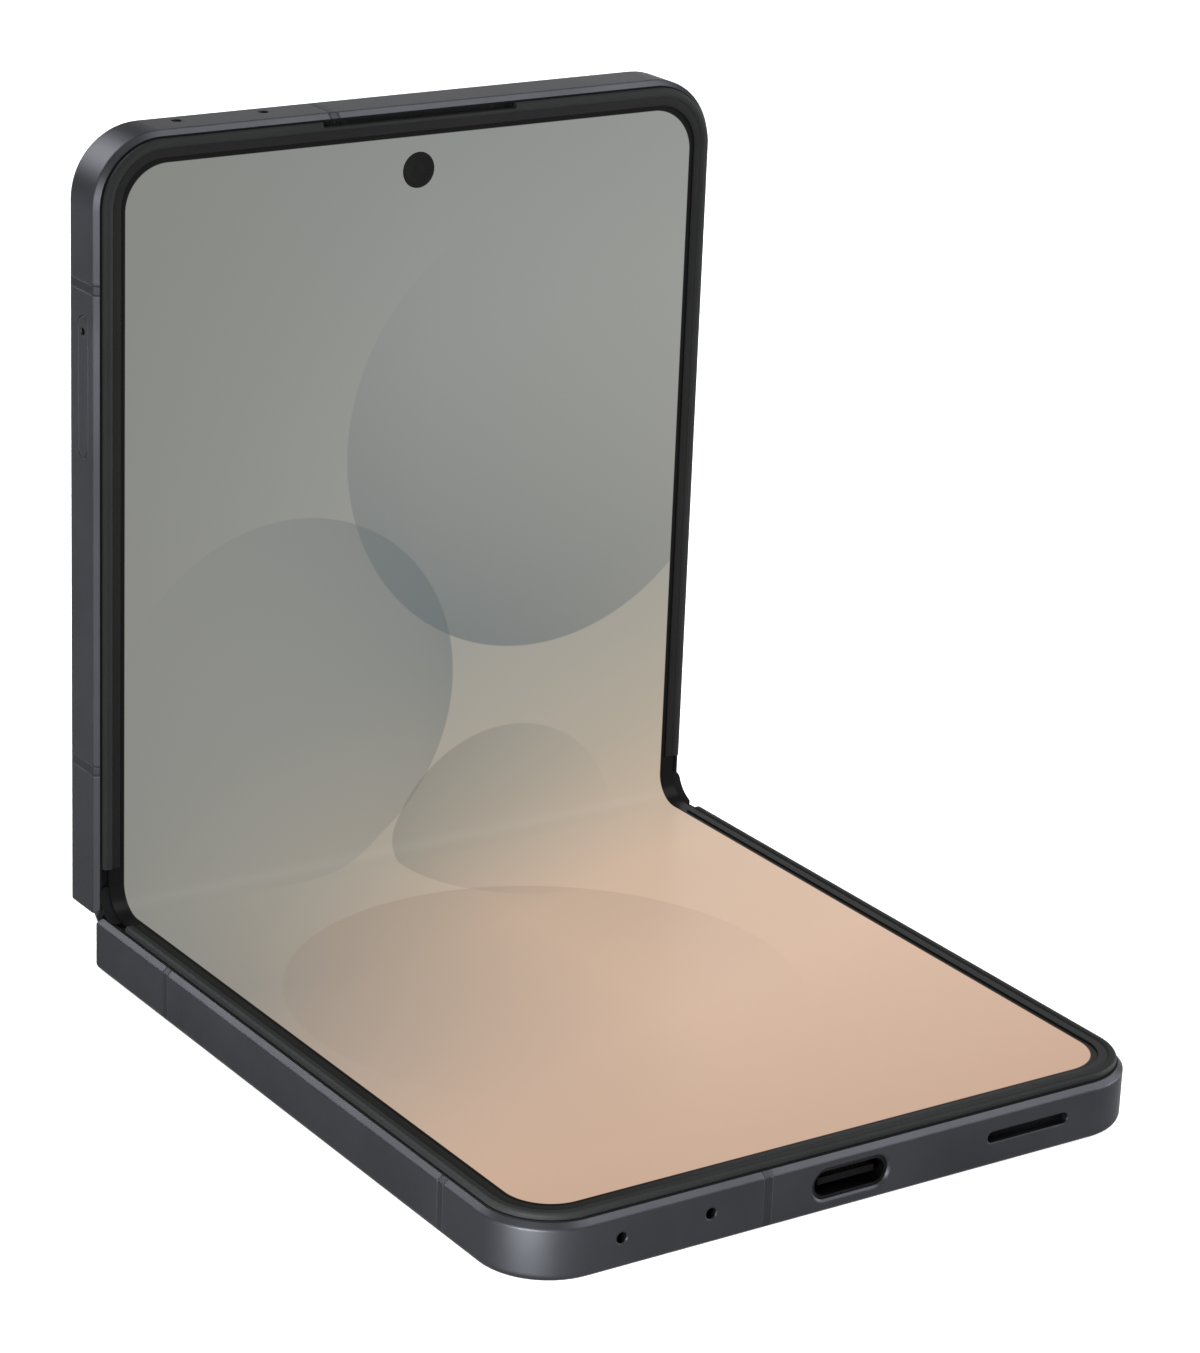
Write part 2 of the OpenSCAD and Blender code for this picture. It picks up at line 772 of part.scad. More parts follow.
module hinge_end_caps() on_hinge() color([0.08, 0.08, 0.08]) both_sides()
    translate([cover_half - cap_length, 0, 0]) rotate([90, 0, 90]) linear_extrude(cap_length) {
        cover_fill(cover_inner);
        at_shafts() circle(cap_crest);
        translate([-shaft_offset, 0]) square([2 * shaft_offset, cap_crest]);
    }

// One bracket in each unit: three cheeks hold the shafts, with pockets for hubs, gears and springs
module hinge_brackets() on_hinge() color([0.55, 0.55, 0.57]) difference() {
    union() {
        unit_run(0, unit_length) cover_fill(cover_inner);
        unit_run(0, cheek) at_shafts() circle(cheek_boss);
        unit_run(leaf_end + 0.05, spring_start - 0.05) at_shafts() circle(cheek_boss);
        unit_run(spring_end, unit_length) at_shafts() circle(cheek_boss);
    }
    unit_run(leaf_start - 0.05, leaf_end + 0.05) at_shafts() circle(hub_radius + tip_gap);
    unit_run(gear_start - 0.1, leaf_start) at_shafts() circle(arm_tip + tip_gap);
    unit_run(gear_start - 0.1, leaf_start) at_idlers() circle(idler_tip + tip_gap);
    unit_run(spring_start - 0.05, spring_end) at_shafts() circle(spring_radius + tip_gap);
    unit_run(axle_start - 0.05, axle_end + 0.05) at_idlers() circle(idler_axle + running_gap);
    unit_run(-1, unit_length + 1) at_shafts() circle(shaft_radius);
}

module hinge_shafts() on_hinge() color([0.75, 0.75, 0.77])
    unit_run(shaft_end, unit_length - shaft_end) at_shafts() circle(shaft_radius);

// A stack of spring discs on each shaft, pressed against the middle cheek for friction
module hinge_disc_springs() on_hinge() color([0.68, 0.68, 0.7]) difference() {
    union() {
        unit_run(spring_start, spring_end) at_shafts() circle(spring_radius - 0.25);
        for (k = [0:spring_discs - 1]) {
            start = spring_start + k * spring_pitch;
            unit_run(start, start + spring_pitch / 2) at_shafts() circle(spring_radius);
        }
    }
    unit_run(spring_start - 1, spring_end + 1) at_shafts() circle(shaft_radius + running_gap);
}

// Outline of a timing gear with a tooth centred at the angle phase
function gear_points(teeth, pitch, phase) = let(
    half = (PI * gear_module / 2 - gear_backlash) / 2,
    root = pitch - gear_dedendum,
    tip = pitch + gear_addendum,
    root_angle = (half + gear_dedendum * tan(20)) / root * 180 / PI,
    tip_angle = (half - gear_addendum * tan(20)) / tip * 180 / PI)
    [for (k = [0:teeth - 1]) for (corner = [[root, -root_angle], [tip, -tip_angle],
        [tip, tip_angle], [root, root_angle]])
        let(angle = phase + 360 * k / teeth + corner[1])
        corner[0] * [cos(angle), sin(angle)]];

// Angle of a tooth of the driven gear, where the line from driver to driven runs at angle line
function meshed(phase, line, teeth, driven) =
    line + 180 + 180 / driven - (phase - line) * teeth / driven;

arm_line = atan2(idler_v, shaft_offset - idler_u);
lower_arm_phase = arm_line;
lower_idler_phase = meshed(lower_arm_phase, arm_line, arm_teeth, idler_teeth);
upper_idler_phase = meshed(lower_idler_phase, 0, idler_teeth, idler_teeth);
upper_arm_phase = meshed(upper_idler_phase, -arm_line, idler_teeth, arm_teeth);

// Hubs and leaves of one half's two arms, in that half's own frame
module arm_leaves() {
    both_sides() difference() {
        union() {
            translate([leaf_x(), shaft_s, leaf_low])
                cube([leaf_width, leaf_reach - shaft_s, leaf_thickness]);
            translate([leaf_x(), shaft_s, shaft_w]) rotate([0, 90, 0])
                cylinder(r = hub_radius, h = leaf_width + leaf_start - gear_end + eps);
        }
        for (s = arm_screw_places) translate([leaf_x() + leaf_width / 2, s, leaf_low]) {
            translate([0, 0, -1]) cylinder(r = screw_radius, h = 9);
            translate([0, 0, leaf_thickness - screw_head_height]) cylinder(r = screw_head, h = 9);
        }
    }
}

module arm_gears(u, phase) {
    unit_run(gear_start, gear_end) translate([u, 0])
        polygon(gear_points(arm_teeth, arm_pitch, phase));
}

module arm_bores(u) {
    unit_run(gear_start - 1, leaf_end + 1) translate([u, 0]) circle(shaft_radius + running_gap);
}

module lower_hinge_arms() color([0.62, 0.62, 0.64]) difference() {
    union() {
        on_lower() arm_leaves();
        on_hinge() arm_gears(-shaft_offset, lower_arm_phase);
    }
    on_hinge() arm_bores(-shaft_offset);
}

module upper_hinge_arms() color([0.62, 0.62, 0.64]) difference() {
    union() {
        on_upper() arm_leaves();
        on_hinge() arm_gears(shaft_offset, upper_arm_phase);
    }
    on_hinge() arm_bores(shaft_offset);
}

module idler_gears(u, phase) {
    unit_run(gear_start + 0.05, gear_end - 0.05) translate([u, idler_v])
        polygon(gear_points(idler_teeth, idler_pitch, phase));
    unit_run(axle_start, axle_end) translate([u, idler_v]) circle(idler_axle);
}

module lower_idler_gears() on_hinge() color([0.7, 0.6, 0.35])
    idler_gears(-idler_u, lower_idler_phase);

module upper_idler_gears() on_hinge() color([0.7, 0.6, 0.35])
    idler_gears(idler_u, upper_idler_phase);

module arm_screws() {
    both_sides() for (s = arm_screw_places) translate([leaf_x() + leaf_width / 2, s, 0]) {
        translate([0, 0, leaf_low - screw_length])
            cylinder(r = screw_radius, h = screw_length + leaf_thickness - 0.02);
        translate([0, 0, leaf_low + leaf_thickness - screw_head_height])
            cylinder(r = screw_head, h = screw_head_height - 0.02);
    }
}

module lower_arm_screws() on_lower() color([0.5, 0.5, 0.52]) arm_screws();

module upper_arm_screws() on_upper() color([0.5, 0.5, 0.52]) arm_screws();

// ---- Inside both halves ----

module battery(length) {
    size = battery_width - 2 * battery_round;
    translate([0, battery_start + length / 2, battery_low]) linear_extrude(battery_high - battery_low) {
        square([size, length], center = true);
        square([battery_width, length - 2 * battery_round], center = true);
        for (x = [-size / 2, size / 2], s = [-1, 1])
            translate([x, s * (length / 2 - battery_round)]) circle(battery_round);
    }
}

module lower_battery() on_lower() color([0.2, 0.2, 0.22]) battery(lower_battery_length);

module upper_battery() on_upper() color([0.2, 0.2, 0.22]) battery(upper_battery_length);

module magnets() {
    both_sides() translate([inner_x - magnet_size[0], magnet_place, glass_top + ledge_thickness + 0.1])
        cube(magnet_size);
}

module lower_magnets() on_lower() color([0.7, 0.7, 0.72]) magnets();

module upper_magnets() on_upper() color([0.7, 0.7, 0.72]) magnets();

// Screw holes through a board and up into the metal floor
module board_screw_holes(places) {
    for (place = places) translate([place[0], place[1], board_low - 1])
        cylinder(r = screw_radius, h = floor_under + board_screw_grip - board_low + 1);
}

module board_screws(places) {
    for (place = places) translate([place[0], place[1], 0]) {
        translate([0, 0, board_low]) cylinder(r = screw_radius, h = floor_under + board_screw_grip - board_low);
        translate([0, 0, board_low - board_screw_head_height])
            cylinder(r = board_screw_head, h = board_screw_head_height);
    }
}

module microphones(height) {
    for (x = microphone_places)
        translate([x, inner_end - microphone_size[1] / 2, height]) cube(microphone_size, center = true);
}

// ---- Inside the lower half ----

module sub_board() on_lower() color([0.1, 0.3, 0.2]) difference() {
    translate([-board_side, sub_board_start, board_low])
        cube([board_side + sub_board_edge, sub_board_length, board_thickness]);
    board_screw_holes(sub_board_screw_places);
}

module sub_board_screws() on_lower() color([0.6, 0.6, 0.62]) board_screws(sub_board_screw_places);

module usb_socket() on_lower() color([0.66, 0.66, 0.68]) {
    back = socket_setback + socket_depth;
    from_end(0, socket_height, socket_setback, back) difference() {
        stadium(socket_outer_width, socket_outer_height);
        stadium(socket_width, socket_mouth);
    }
    from_end(0, socket_height, back - eps, back + socket_back)
        stadium(socket_outer_width, socket_outer_height);
}

module usb_tongue() on_lower() color([0.08, 0.08, 0.08]) {
    back = socket_setback + socket_depth - 0.02;
    from_end(0, socket_height, socket_setback + tongue_setback, back)
        square([tongue_width, tongue_thickness], center = true);
    from_end(0, socket_height, back - 1, back) stadium(socket_width - 0.04, socket_mouth - 0.04);
}

module loudspeaker() on_lower() color([0.12, 0.12, 0.13]) {
    box = speaker_slot + 2 * speaker_margin;
    translate([speaker_x - box / 2, sub_board_start, glass_top + ledge_thickness + 0.15])
        cube([box, inner_end - sub_board_start, floor_under - glass_top - ledge_thickness - 0.2]);
}

module speaker_mesh() on_lower() color([0.1, 0.1, 0.11])
    from_end(speaker_x, speaker_height, mesh_depth, mesh_depth + mesh_thickness)
        stadium(speaker_slot - 0.02, speaker_mouth - 0.02);

module bottom_microphones() on_lower() color([0.6, 0.55, 0.35]) microphones(lower_microphone_height);

module vibration_motor() on_lower() color([0.6, 0.6, 0.62])
    translate([-motor_x, sub_board_start + 2, glass_top + ledge_thickness + 0.2])
        cube([motor_size[0], motor_size[1], board_low - glass_top - ledge_thickness - 0.25]);

module charging_coil() on_lower() color([0.7, 0.42, 0.2]) translate([0, coil_place, bay_low])
    difference() {
        cylinder(r = coil_radius, h = coil_thickness, $fn = 96);
        translate([0, 0, -1]) cylinder(r = coil_hole, h = 9, $fn = 96);
    }

module coil_shield() on_lower() color([0.15, 0.15, 0.15])
    translate([-coil_shield_side / 2, coil_place - coil_shield_side / 2, bay_low + coil_thickness])
        cube([coil_shield_side, coil_shield_side, shield_thickness]);

// ---- Inside the upper half ----

module main_board() on_upper() color([0.1, 0.3, 0.2]) difference() {
    union() {
        translate([-board_side, main_board_start, board_low])
            cube([2 * board_side, main_board_length, board_thickness]);
        translate([-board_side, main_board_step - eps, board_low])
            cube([board_side - main_board_tail_side, main_board_tail, board_thickness]);
    }
    board_screw_holes(main_board_screw_places);
}

module main_board_screws() on_upper() color([0.6, 0.6, 0.62]) board_screws(main_board_screw_places);

// One corner-to-corner block of the shield, drawn in by a margin on five sides
module shield_block(inset, top) {
    translate([shield_start_x + inset, main_board_start + shield_margin + inset, board_low - shield_height + inset])
        cube([shield_end_x - shield_start_x - 2 * inset,
            main_board_length - 2 * shield_margin - 2 * inset, shield_height - inset + top]);
}

module board_shield() on_upper() color([0.66, 0.66, 0.68]) difference() {
    shield_block(0, 0);
    shield_block(shield_wall, eps);
}

module cover_screen() on_upper() color([0.05, 0.05, 0.06])
    translate([cover_screen_side_gap - half_width, cover_screen_start, glass_top + 0.02])
        cube([body_width - 2 * cover_screen_side_gap, cover_screen_end - cover_screen_start,
            battery_low - glass_top - 0.07]);

module camera_rings() on_upper() color([0.3, 0.31, 0.33]) for (x = camera_places)
    translate([x, camera_s, 0]) rotate_extrude($fn = 64) difference() {
        translate([ring_lip, -ring_rise]) square([ring_radius - ring_lip, ring_rise + glass_top]);
        translate([0, -far]) square([camera_window, far - lens_depth]);
        translate([ring_radius, -ring_rise]) rotate(45) square(0.5, center = true);
        translate([camera_window, -ring_rise]) rotate(45) square(0.2, center = true);
    }

module camera_lenses() on_upper() color([0.04, 0.04, 0.05]) for (x = camera_places)
    translate([x, camera_s, -lens_depth - lens_thickness])
        cylinder(r = camera_window - 0.02, h = lens_thickness);

module camera_modules() on_upper() color([0.1, 0.1, 0.12]) for (x = camera_places) {
    translate([x, camera_s, -lens_depth + 0.02])
        cylinder(r = ring_lip - 0.05, h = glass_top + ledge_thickness + lens_depth);
    translate([x - camera_box / 2, camera_s - camera_box / 2, glass_top + ledge_thickness])
        cube([camera_box, camera_box, camera_box_height]);
}

module flash_lens() on_upper() color([0.9, 0.88, 0.8])
    translate([flash_x, camera_s, 0.03]) cylinder(r = flash_radius, h = glass_thickness);

module front_camera() on_upper() color([0.03, 0.03, 0.04]) {
    translate([0, front_camera_s, floor_under - 1])
        cylinder(r = front_camera_radius - 0.1, h = screen_height - 0.08 - floor_under + 1);
    translate([0, front_camera_s, floor_under - 0.05 - front_camera_box[2] / 2])
        cube(front_camera_box, center = true);
}

module earpiece() on_upper() color([0.12, 0.12, 0.13])
    translate([earpiece_x, inner_end - earpiece_size[1] / 2, floor_under - 0.05 - earpiece_size[2] / 2])
        cube(earpiece_size, center = true);

module earpiece_mesh() on_upper() color([0.1, 0.1, 0.11])
    translate([0.02 - earpiece_slot / 2, half_length - earpiece_inner + 0.02, earpiece_floor])
        cube([earpiece_slot - 0.04, earpiece_inner - earpiece_outer - 0.04, 0.15]);

module top_microphones() on_upper() color([0.6, 0.55, 0.35]) microphones(upper_microphone_height);

// ---- Keys and card tray, on the upper half ----

// A key with its flange behind the rail, flush with the rail but for its rise
module key(place, length, rise) {
    from_side(1, place, key_level, -rise, rail_width + key_travel + eps) stadium(length, key_height);
    from_side(1, place, key_level, rail_width + key_travel, rail_width + key_travel + key_flange)
        stadium(length + 2 * key_flange_margin, key_height + 2 * key_flange_margin);
}

module side_key() on_upper() color([0.22, 0.23, 0.25])
    key(side_key_place, side_key_length, side_key_rise);

// The volume key rocks on a round rib behind its middle
module volume_key() on_upper() color([0.28, 0.29, 0.31]) {
    key(volume_place, volume_length, volume_rise);
    translate([key_back_x, volume_place, key_level])
        cylinder(r = pivot_radius, h = key_height, center = true);
}

// Domes that the keys press, one under the side key and one at each end of the volume key
module key_switches() on_upper() color([0.6, 0.6, 0.62]) {
    for (s = [side_key_place, volume_place - volume_length / 3, volume_place + volume_length / 3])
        translate([key_back_x - key_travel - switch_size[0] / 2, s, key_level])
            cube(switch_size, center = true);
}

// The card's seat in the carrier, or the opening under it
module carrier_window(rim, low) {
    translate([tray_front - half_width + rim, carrier_start + rim, low])
        cube([tray_depth - 2 * rim, carrier_width - 2 * rim, far]);
}

module sim_tray() on_upper() color([0.26, 0.27, 0.29]) {
    difference() {
        from_side(-1, tray_place, tray_level, 0, tray_front) stadium(tray_length, tray_height);
        from_side(-1, tray_place + tray_length / 2 - eject_margin, tray_level, -1, tray_front + 1)
            circle(eject_radius);
    }
    difference() {
        translate([tray_front - half_width - eps, carrier_start, tray_level - carrier_thickness / 2])
            cube([tray_depth, carrier_width, carrier_thickness]);
        carrier_window(carrier_rim, tray_level - card_thickness / 2);
        carrier_window(carrier_rim + card_ledge, tray_level - carrier_thickness);
    }
}

// The cage that the card tray slides into, under the main board
module card_reader() on_upper() color([0.66, 0.66, 0.68]) difference() {
    translate([reader_start, carrier_start - reader_wall, reader_low])
        cube([reader_depth, carrier_width + 2 * reader_wall, board_low - reader_low]);
    translate([-inner_x, carrier_start - reader_side_gap, tray_level - carrier_thickness / 2 - 0.1])
        cube([reader_depth - 0.1, carrier_width + 2 * reader_side_gap, carrier_thickness + 0.2]);
}

lower_frame();
lower_antenna_bands();
lower_bezel();
lower_screen_plate();
lower_screen();
lower_wing_plate();
lower_back_glass();
lower_battery();
lower_hinge_arms();
lower_arm_screws();
sub_board();
sub_board_screws();
usb_socket();
usb_tongue();
loudspeaker();
speaker_mesh();
bottom_microphones();
vibration_motor();
charging_coil();
coil_shield();
lower_magnets();
hinge_cover();
hinge_brackets();
hinge_shafts();
hinge_disc_springs();
hinge_end_caps();
lower_idler_gears();
upper_idler_gears();
fold_screen();
hinge_ribbon();
upper_frame();
upper_antenna_bands();
upper_bezel();
upper_screen_plate();
upper_screen();
upper_wing_plate();
upper_hinge_arms();
upper_arm_screws();
cover_glass();
cover_screen();
camera_rings();
camera_lenses();
camera_modules();
flash_lens();
front_camera();
earpiece();
earpiece_mesh();
top_microphones();
main_board();
main_board_screws();
board_shield();
upper_battery();
card_reader();
key_switches();
upper_magnets();
side_key();
volume_key();
sim_tray();
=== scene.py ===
"""Looks of a half-open foldable smartphone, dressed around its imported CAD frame.

Lengths are in millimetres unless a name says otherwise, and `MM` turns them into Blender's metres.
"""

import logging
import math
from dataclasses import dataclass, field
from enum import Enum
from typing import Iterable, Optional, Protocol, Sequence, Union

import bmesh
import bpy
from mathutils import Matrix, Vector


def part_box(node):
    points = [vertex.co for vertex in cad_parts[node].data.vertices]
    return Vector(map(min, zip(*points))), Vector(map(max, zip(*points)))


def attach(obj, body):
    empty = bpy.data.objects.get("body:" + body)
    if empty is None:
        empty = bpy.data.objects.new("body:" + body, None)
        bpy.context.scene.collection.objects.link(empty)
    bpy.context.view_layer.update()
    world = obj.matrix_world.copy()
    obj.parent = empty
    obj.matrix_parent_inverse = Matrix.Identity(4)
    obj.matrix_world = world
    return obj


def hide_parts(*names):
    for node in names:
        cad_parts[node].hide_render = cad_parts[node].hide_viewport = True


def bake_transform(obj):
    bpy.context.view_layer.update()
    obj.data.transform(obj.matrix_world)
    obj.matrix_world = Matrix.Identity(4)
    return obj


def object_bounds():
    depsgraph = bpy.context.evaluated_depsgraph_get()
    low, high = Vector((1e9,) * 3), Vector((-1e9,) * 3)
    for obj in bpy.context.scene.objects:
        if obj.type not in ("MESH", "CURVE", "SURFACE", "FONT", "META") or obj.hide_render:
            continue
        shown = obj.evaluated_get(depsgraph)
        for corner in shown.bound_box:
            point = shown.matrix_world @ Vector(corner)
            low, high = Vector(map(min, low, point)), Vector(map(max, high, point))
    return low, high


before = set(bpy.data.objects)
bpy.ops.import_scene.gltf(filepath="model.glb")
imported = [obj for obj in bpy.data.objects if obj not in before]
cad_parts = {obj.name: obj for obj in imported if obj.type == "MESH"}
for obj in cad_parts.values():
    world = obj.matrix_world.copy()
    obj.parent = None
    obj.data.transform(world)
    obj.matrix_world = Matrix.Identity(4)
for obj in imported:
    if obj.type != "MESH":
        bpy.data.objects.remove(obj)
cad_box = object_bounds()

log = logging.getLogger("phone")

Colour = tuple[float, float, float]
Socket = bpy.types.NodeSocket
Feed = Union[Socket, float, Sequence[float]]
Rings = Sequence[Sequence[Vector]]

MM = 0.001
MERGE_METRES = 1e-7

# The lower half's fold end, and the upper half's back and fold end
LOWER_FOLD_Y = 42.025
UPPER_BACK_Y = 48.2327
UPPER_FOLD_Z = 6.2077

# The axis and the radius of the screen's face where it bends over the hinge
BEND_Y = 38.6327
BEND_Z = 9.6
BEND_RADIUS = 3.1
BEND_HALF_ARC = BEND_RADIUS * math.pi / 4

# What the camera and most lights look at
PHONE_MIDDLE = (5.11, 11.733, 35.92)


def srgb(red: float, green: float, blue: float) -> Colour:
    """A screen colour of 0 to 255 in each channel, as linear light.

    Args:
        red: The red channel.
        green: The green channel.
        blue: The blue channel.

    Returns:
        The three linear channels.
    """

    def linear(value: float) -> float:
        """One channel as linear light."""
        share = value / 255
        return share / 12.92 if share <= 0.04045 else ((share + 0.055) / 1.055) ** 2.4

    return linear(red), linear(green), linear(blue)


class Half(Enum):
    """The two halves of the phone, each named as its body."""

    LOWER = "lower_half"
    UPPER = "upper_half"

    @property
    def prefix(self) -> str:
        """What the names of this half's nodes begin with."""
        return self.value.split("_")[0]

    @property
    def sign(self) -> int:
        """Which way this half lies from the middle of the unrolled screen."""
        return -1 if self is Half.LOWER else 1

    def point(self, x: float, s: float, w: float) -> Vector:
        """A point given from a half's fold end and back face, in the row frame.

        Args:
            x: Sideways from the middle, to the right.
            s: From the half's fold end towards its free end.
            w: From the half's back towards the screen.

        Returns:
            The point in metres.
        """
        if self is Half.LOWER:
            return Vector((x, LOWER_FOLD_Y - s, w)) * MM
        return Vector((x, UPPER_BACK_Y - w, UPPER_FOLD_Z + s)) * MM


# ---- Meshes ----


def clean(mesh: bpy.types.Mesh) -> None:
    """Merges a mesh's doubles and turns its faces outwards.

    Args:
        mesh: The mesh, changed in place.
    """
    work = bmesh.new()
    work.from_mesh(mesh)
    bmesh.ops.remove_doubles(work, verts=work.verts, dist=MERGE_METRES)
    bmesh.ops.recalc_face_normals(work, faces=work.faces)
    work.to_mesh(mesh)
    work.free()


def finish_mesh(
    mesh: bpy.types.Mesh, name: str, materials: Iterable[bpy.types.Material], sharp_degrees: float = 35
) -> bpy.types.Object:
    """Makes an object of a mesh, cleaned, with soft shading between sharp edges.

    Args:
        mesh: The mesh, already in place in the row frame.
        name: The piece's name.
        materials: The materials for the mesh's slots, in order.
        sharp_degrees: The angle past which an edge stays sharp.

    Returns:
        The object, linked to the scene.
    """
    clean(mesh)
    mesh.shade_smooth()
    mesh.set_sharp_from_angle(angle=math.radians(sharp_degrees))
    mesh.materials.clear()
    for material in materials:
        mesh.materials.append(material)
    mesh.name = name
    piece = bpy.data.objects.new(name, mesh)
    bpy.context.scene.collection.objects.link(piece)
    return piece


def loft(name: str, *shapes: Rings) -> bpy.types.Mesh:
    """Closed shapes in one mesh, each stretched over its rings of points and filled at both ends.

    Args:
        name: The mesh's name.
        *shapes: The rings of each shape, in metres, all of one shape's rings having as many points.

    Returns:
        The mesh, whose points stand in the order given.
    """
    work = bmesh.new()
    for shape in shapes:
        rings = [[work.verts.new(point) for point in ring] for ring in shape]
        for before, after in zip(rings, rings[1:]):
            for i in range(len(before)):
                j = (i + 1) % len(before)
                work.faces.new((before[i], before[j], after[j], after[i]))
        work.faces.new(rings[0])
        work.faces.new(rings[-1])
    bmesh.ops.recalc_face_normals(work, faces=work.faces)
    mesh = bpy.data.meshes.new(name)
    work.to_mesh(mesh)
    work.free()
    return mesh


def lathe(
    name: str,
    half: Half,
    centre: tuple[float, float],
    profile: Sequence[tuple[float, float]],
    lens_bands: int = 0,
    segments: int = 64,
) -> bpy.types.Mesh:
    """A closed turned shape whose axis stands square to a half's back.

    Args:
        name: The mesh's name.
        half: The half that the shape is on.
        centre: The axis, as x and the distance from the fold end.
        profile: Pairs of radius and height above the back, from pole to pole.
        lens_bands: How many of the last bands between two pairs take the second material.
        segments: Steps around the axis.

    Returns:
        The mesh, in place.
    """
    work = bmesh.new()
    turns = [2 * math.pi * step / segments for step in range(segments)]
    x, s = centre
    rings: list[list[bmesh.types.BMVert]] = []
    for radius, w in profile:
        if radius == 0:
            rings.append([work.verts.new(half.point(x, s, w))])
            continue
        points = [half.point(x + radius * math.cos(turn), s + radius * math.sin(turn), w) for turn in turns]
        rings.append([work.verts.new(point) for point in points])
    first_lens_band = len(profile) - 1 - lens_bands
    for band, (inner, outer) in enumerate(zip(rings, rings[1:])):
        for step in range(segments):
            after = (step + 1) % segments
            corners = [
                inner[step % len(inner)],
                outer[step % len(outer)],
                outer[after % len(outer)],
                inner[after % len(inner)],
            ]
            kept = list(dict.fromkeys(corners))
            if len(kept) > 2:
                work.faces.new(kept).material_index = int(band >= first_lens_band)
    mesh = bpy.data.meshes.new(name)
    work.to_mesh(mesh)
    work.free()
    return mesh


def join(name: str, meshes: Sequence[bpy.types.Mesh]) -> bpy.types.Mesh:
    """Several meshes as one.

    Args:
        name: The new mesh's name.
        meshes: The meshes, whose material slots already agree.

    Returns:
        The joined mesh.
    """
    work = bmesh.new()
    for mesh in meshes:
        work.from_mesh(mesh)
    joined = bpy.data.meshes.new(name)
    work.to_mesh(joined)
    work.free()
    return joined


def cut_out(mesh: bpy.types.Mesh, block: bpy.types.Mesh) -> bpy.types.Mesh:
    """A closed mesh with a block taken away.

    Args:
        mesh: The closed mesh.
        block: The closed block, in the same place.

    Returns:
        The cut mesh.
    """
    clean(mesh)
    scene = bpy.context.scene
    holder, cutter = bpy.data.objects.new("holder", mesh), bpy.data.objects.new("cutter", block)
    scene.collection.objects.link(holder)
    scene.collection.objects.link(cutter)
    modifier = holder.modifiers.new("cut", "BOOLEAN")
    modifier.operation = "DIFFERENCE"
    modifier.solver = "EXACT"
    modifier.object = cutter
    bpy.context.view_layer.update()
    result = bpy.data.meshes.new_from_object(holder.evaluated_get(bpy.context.evaluated_depsgraph_get()))
    holder.modifiers.clear()
    bpy.data.objects.remove(holder)
    bpy.data.objects.remove(cutter)
    return result


# ---- Node trees ----


class NodeMaker:
    """A node tree with short calls for its nodes."""

    def __init__(self, tree: bpy.types.NodeTree) -> None:
        """Takes up the tree."""
        self.tree = tree

    def feed(self, socket: Socket, value: Feed) -> None:
        """Links a socket to another, or sets its value, a colour getting full alpha.

        Args:
            socket: The input.
            value: The other socket, or the value.
        """
        if isinstance(value, bpy.types.NodeSocket):
            self.tree.links.new(value, socket)
        elif socket.type == "RGBA" and len(value) == 3:
            socket.default_value = (*value, 1.0)
        else:
            socket.default_value = value

    def add(self, kind: str, settings: Optional[dict] = None, **feeds: Feed) -> bpy.types.Node:
        """Adds a node and feeds its inputs.

        Args:
            kind: The node's type.
            settings: Properties of the node itself.
            **feeds: Values or sockets for its inputs, spaces in their names written as underscores.

        Returns:
            The node.
        """
        node = self.tree.nodes.new(kind)
        for key, value in (settings or {}).items():
            setattr(node, key, value)
        for key, value in feeds.items():
            self.feed(node.inputs[key.replace("_", " ")], value)
        return node

    def calc(self, operation: str, *values: Feed) -> Socket:
        """One step of arithmetic on numbers.

        Args:
            operation: What is done.
            *values: The numbers, in order.

        Returns:
            The result.
        """
        node = self.add("ShaderNodeMath", {"operation": operation})
        for socket, value in zip(node.inputs, values):
            self.feed(socket, value)
        return node.outputs[0]


# ---- Geometry Nodes ----


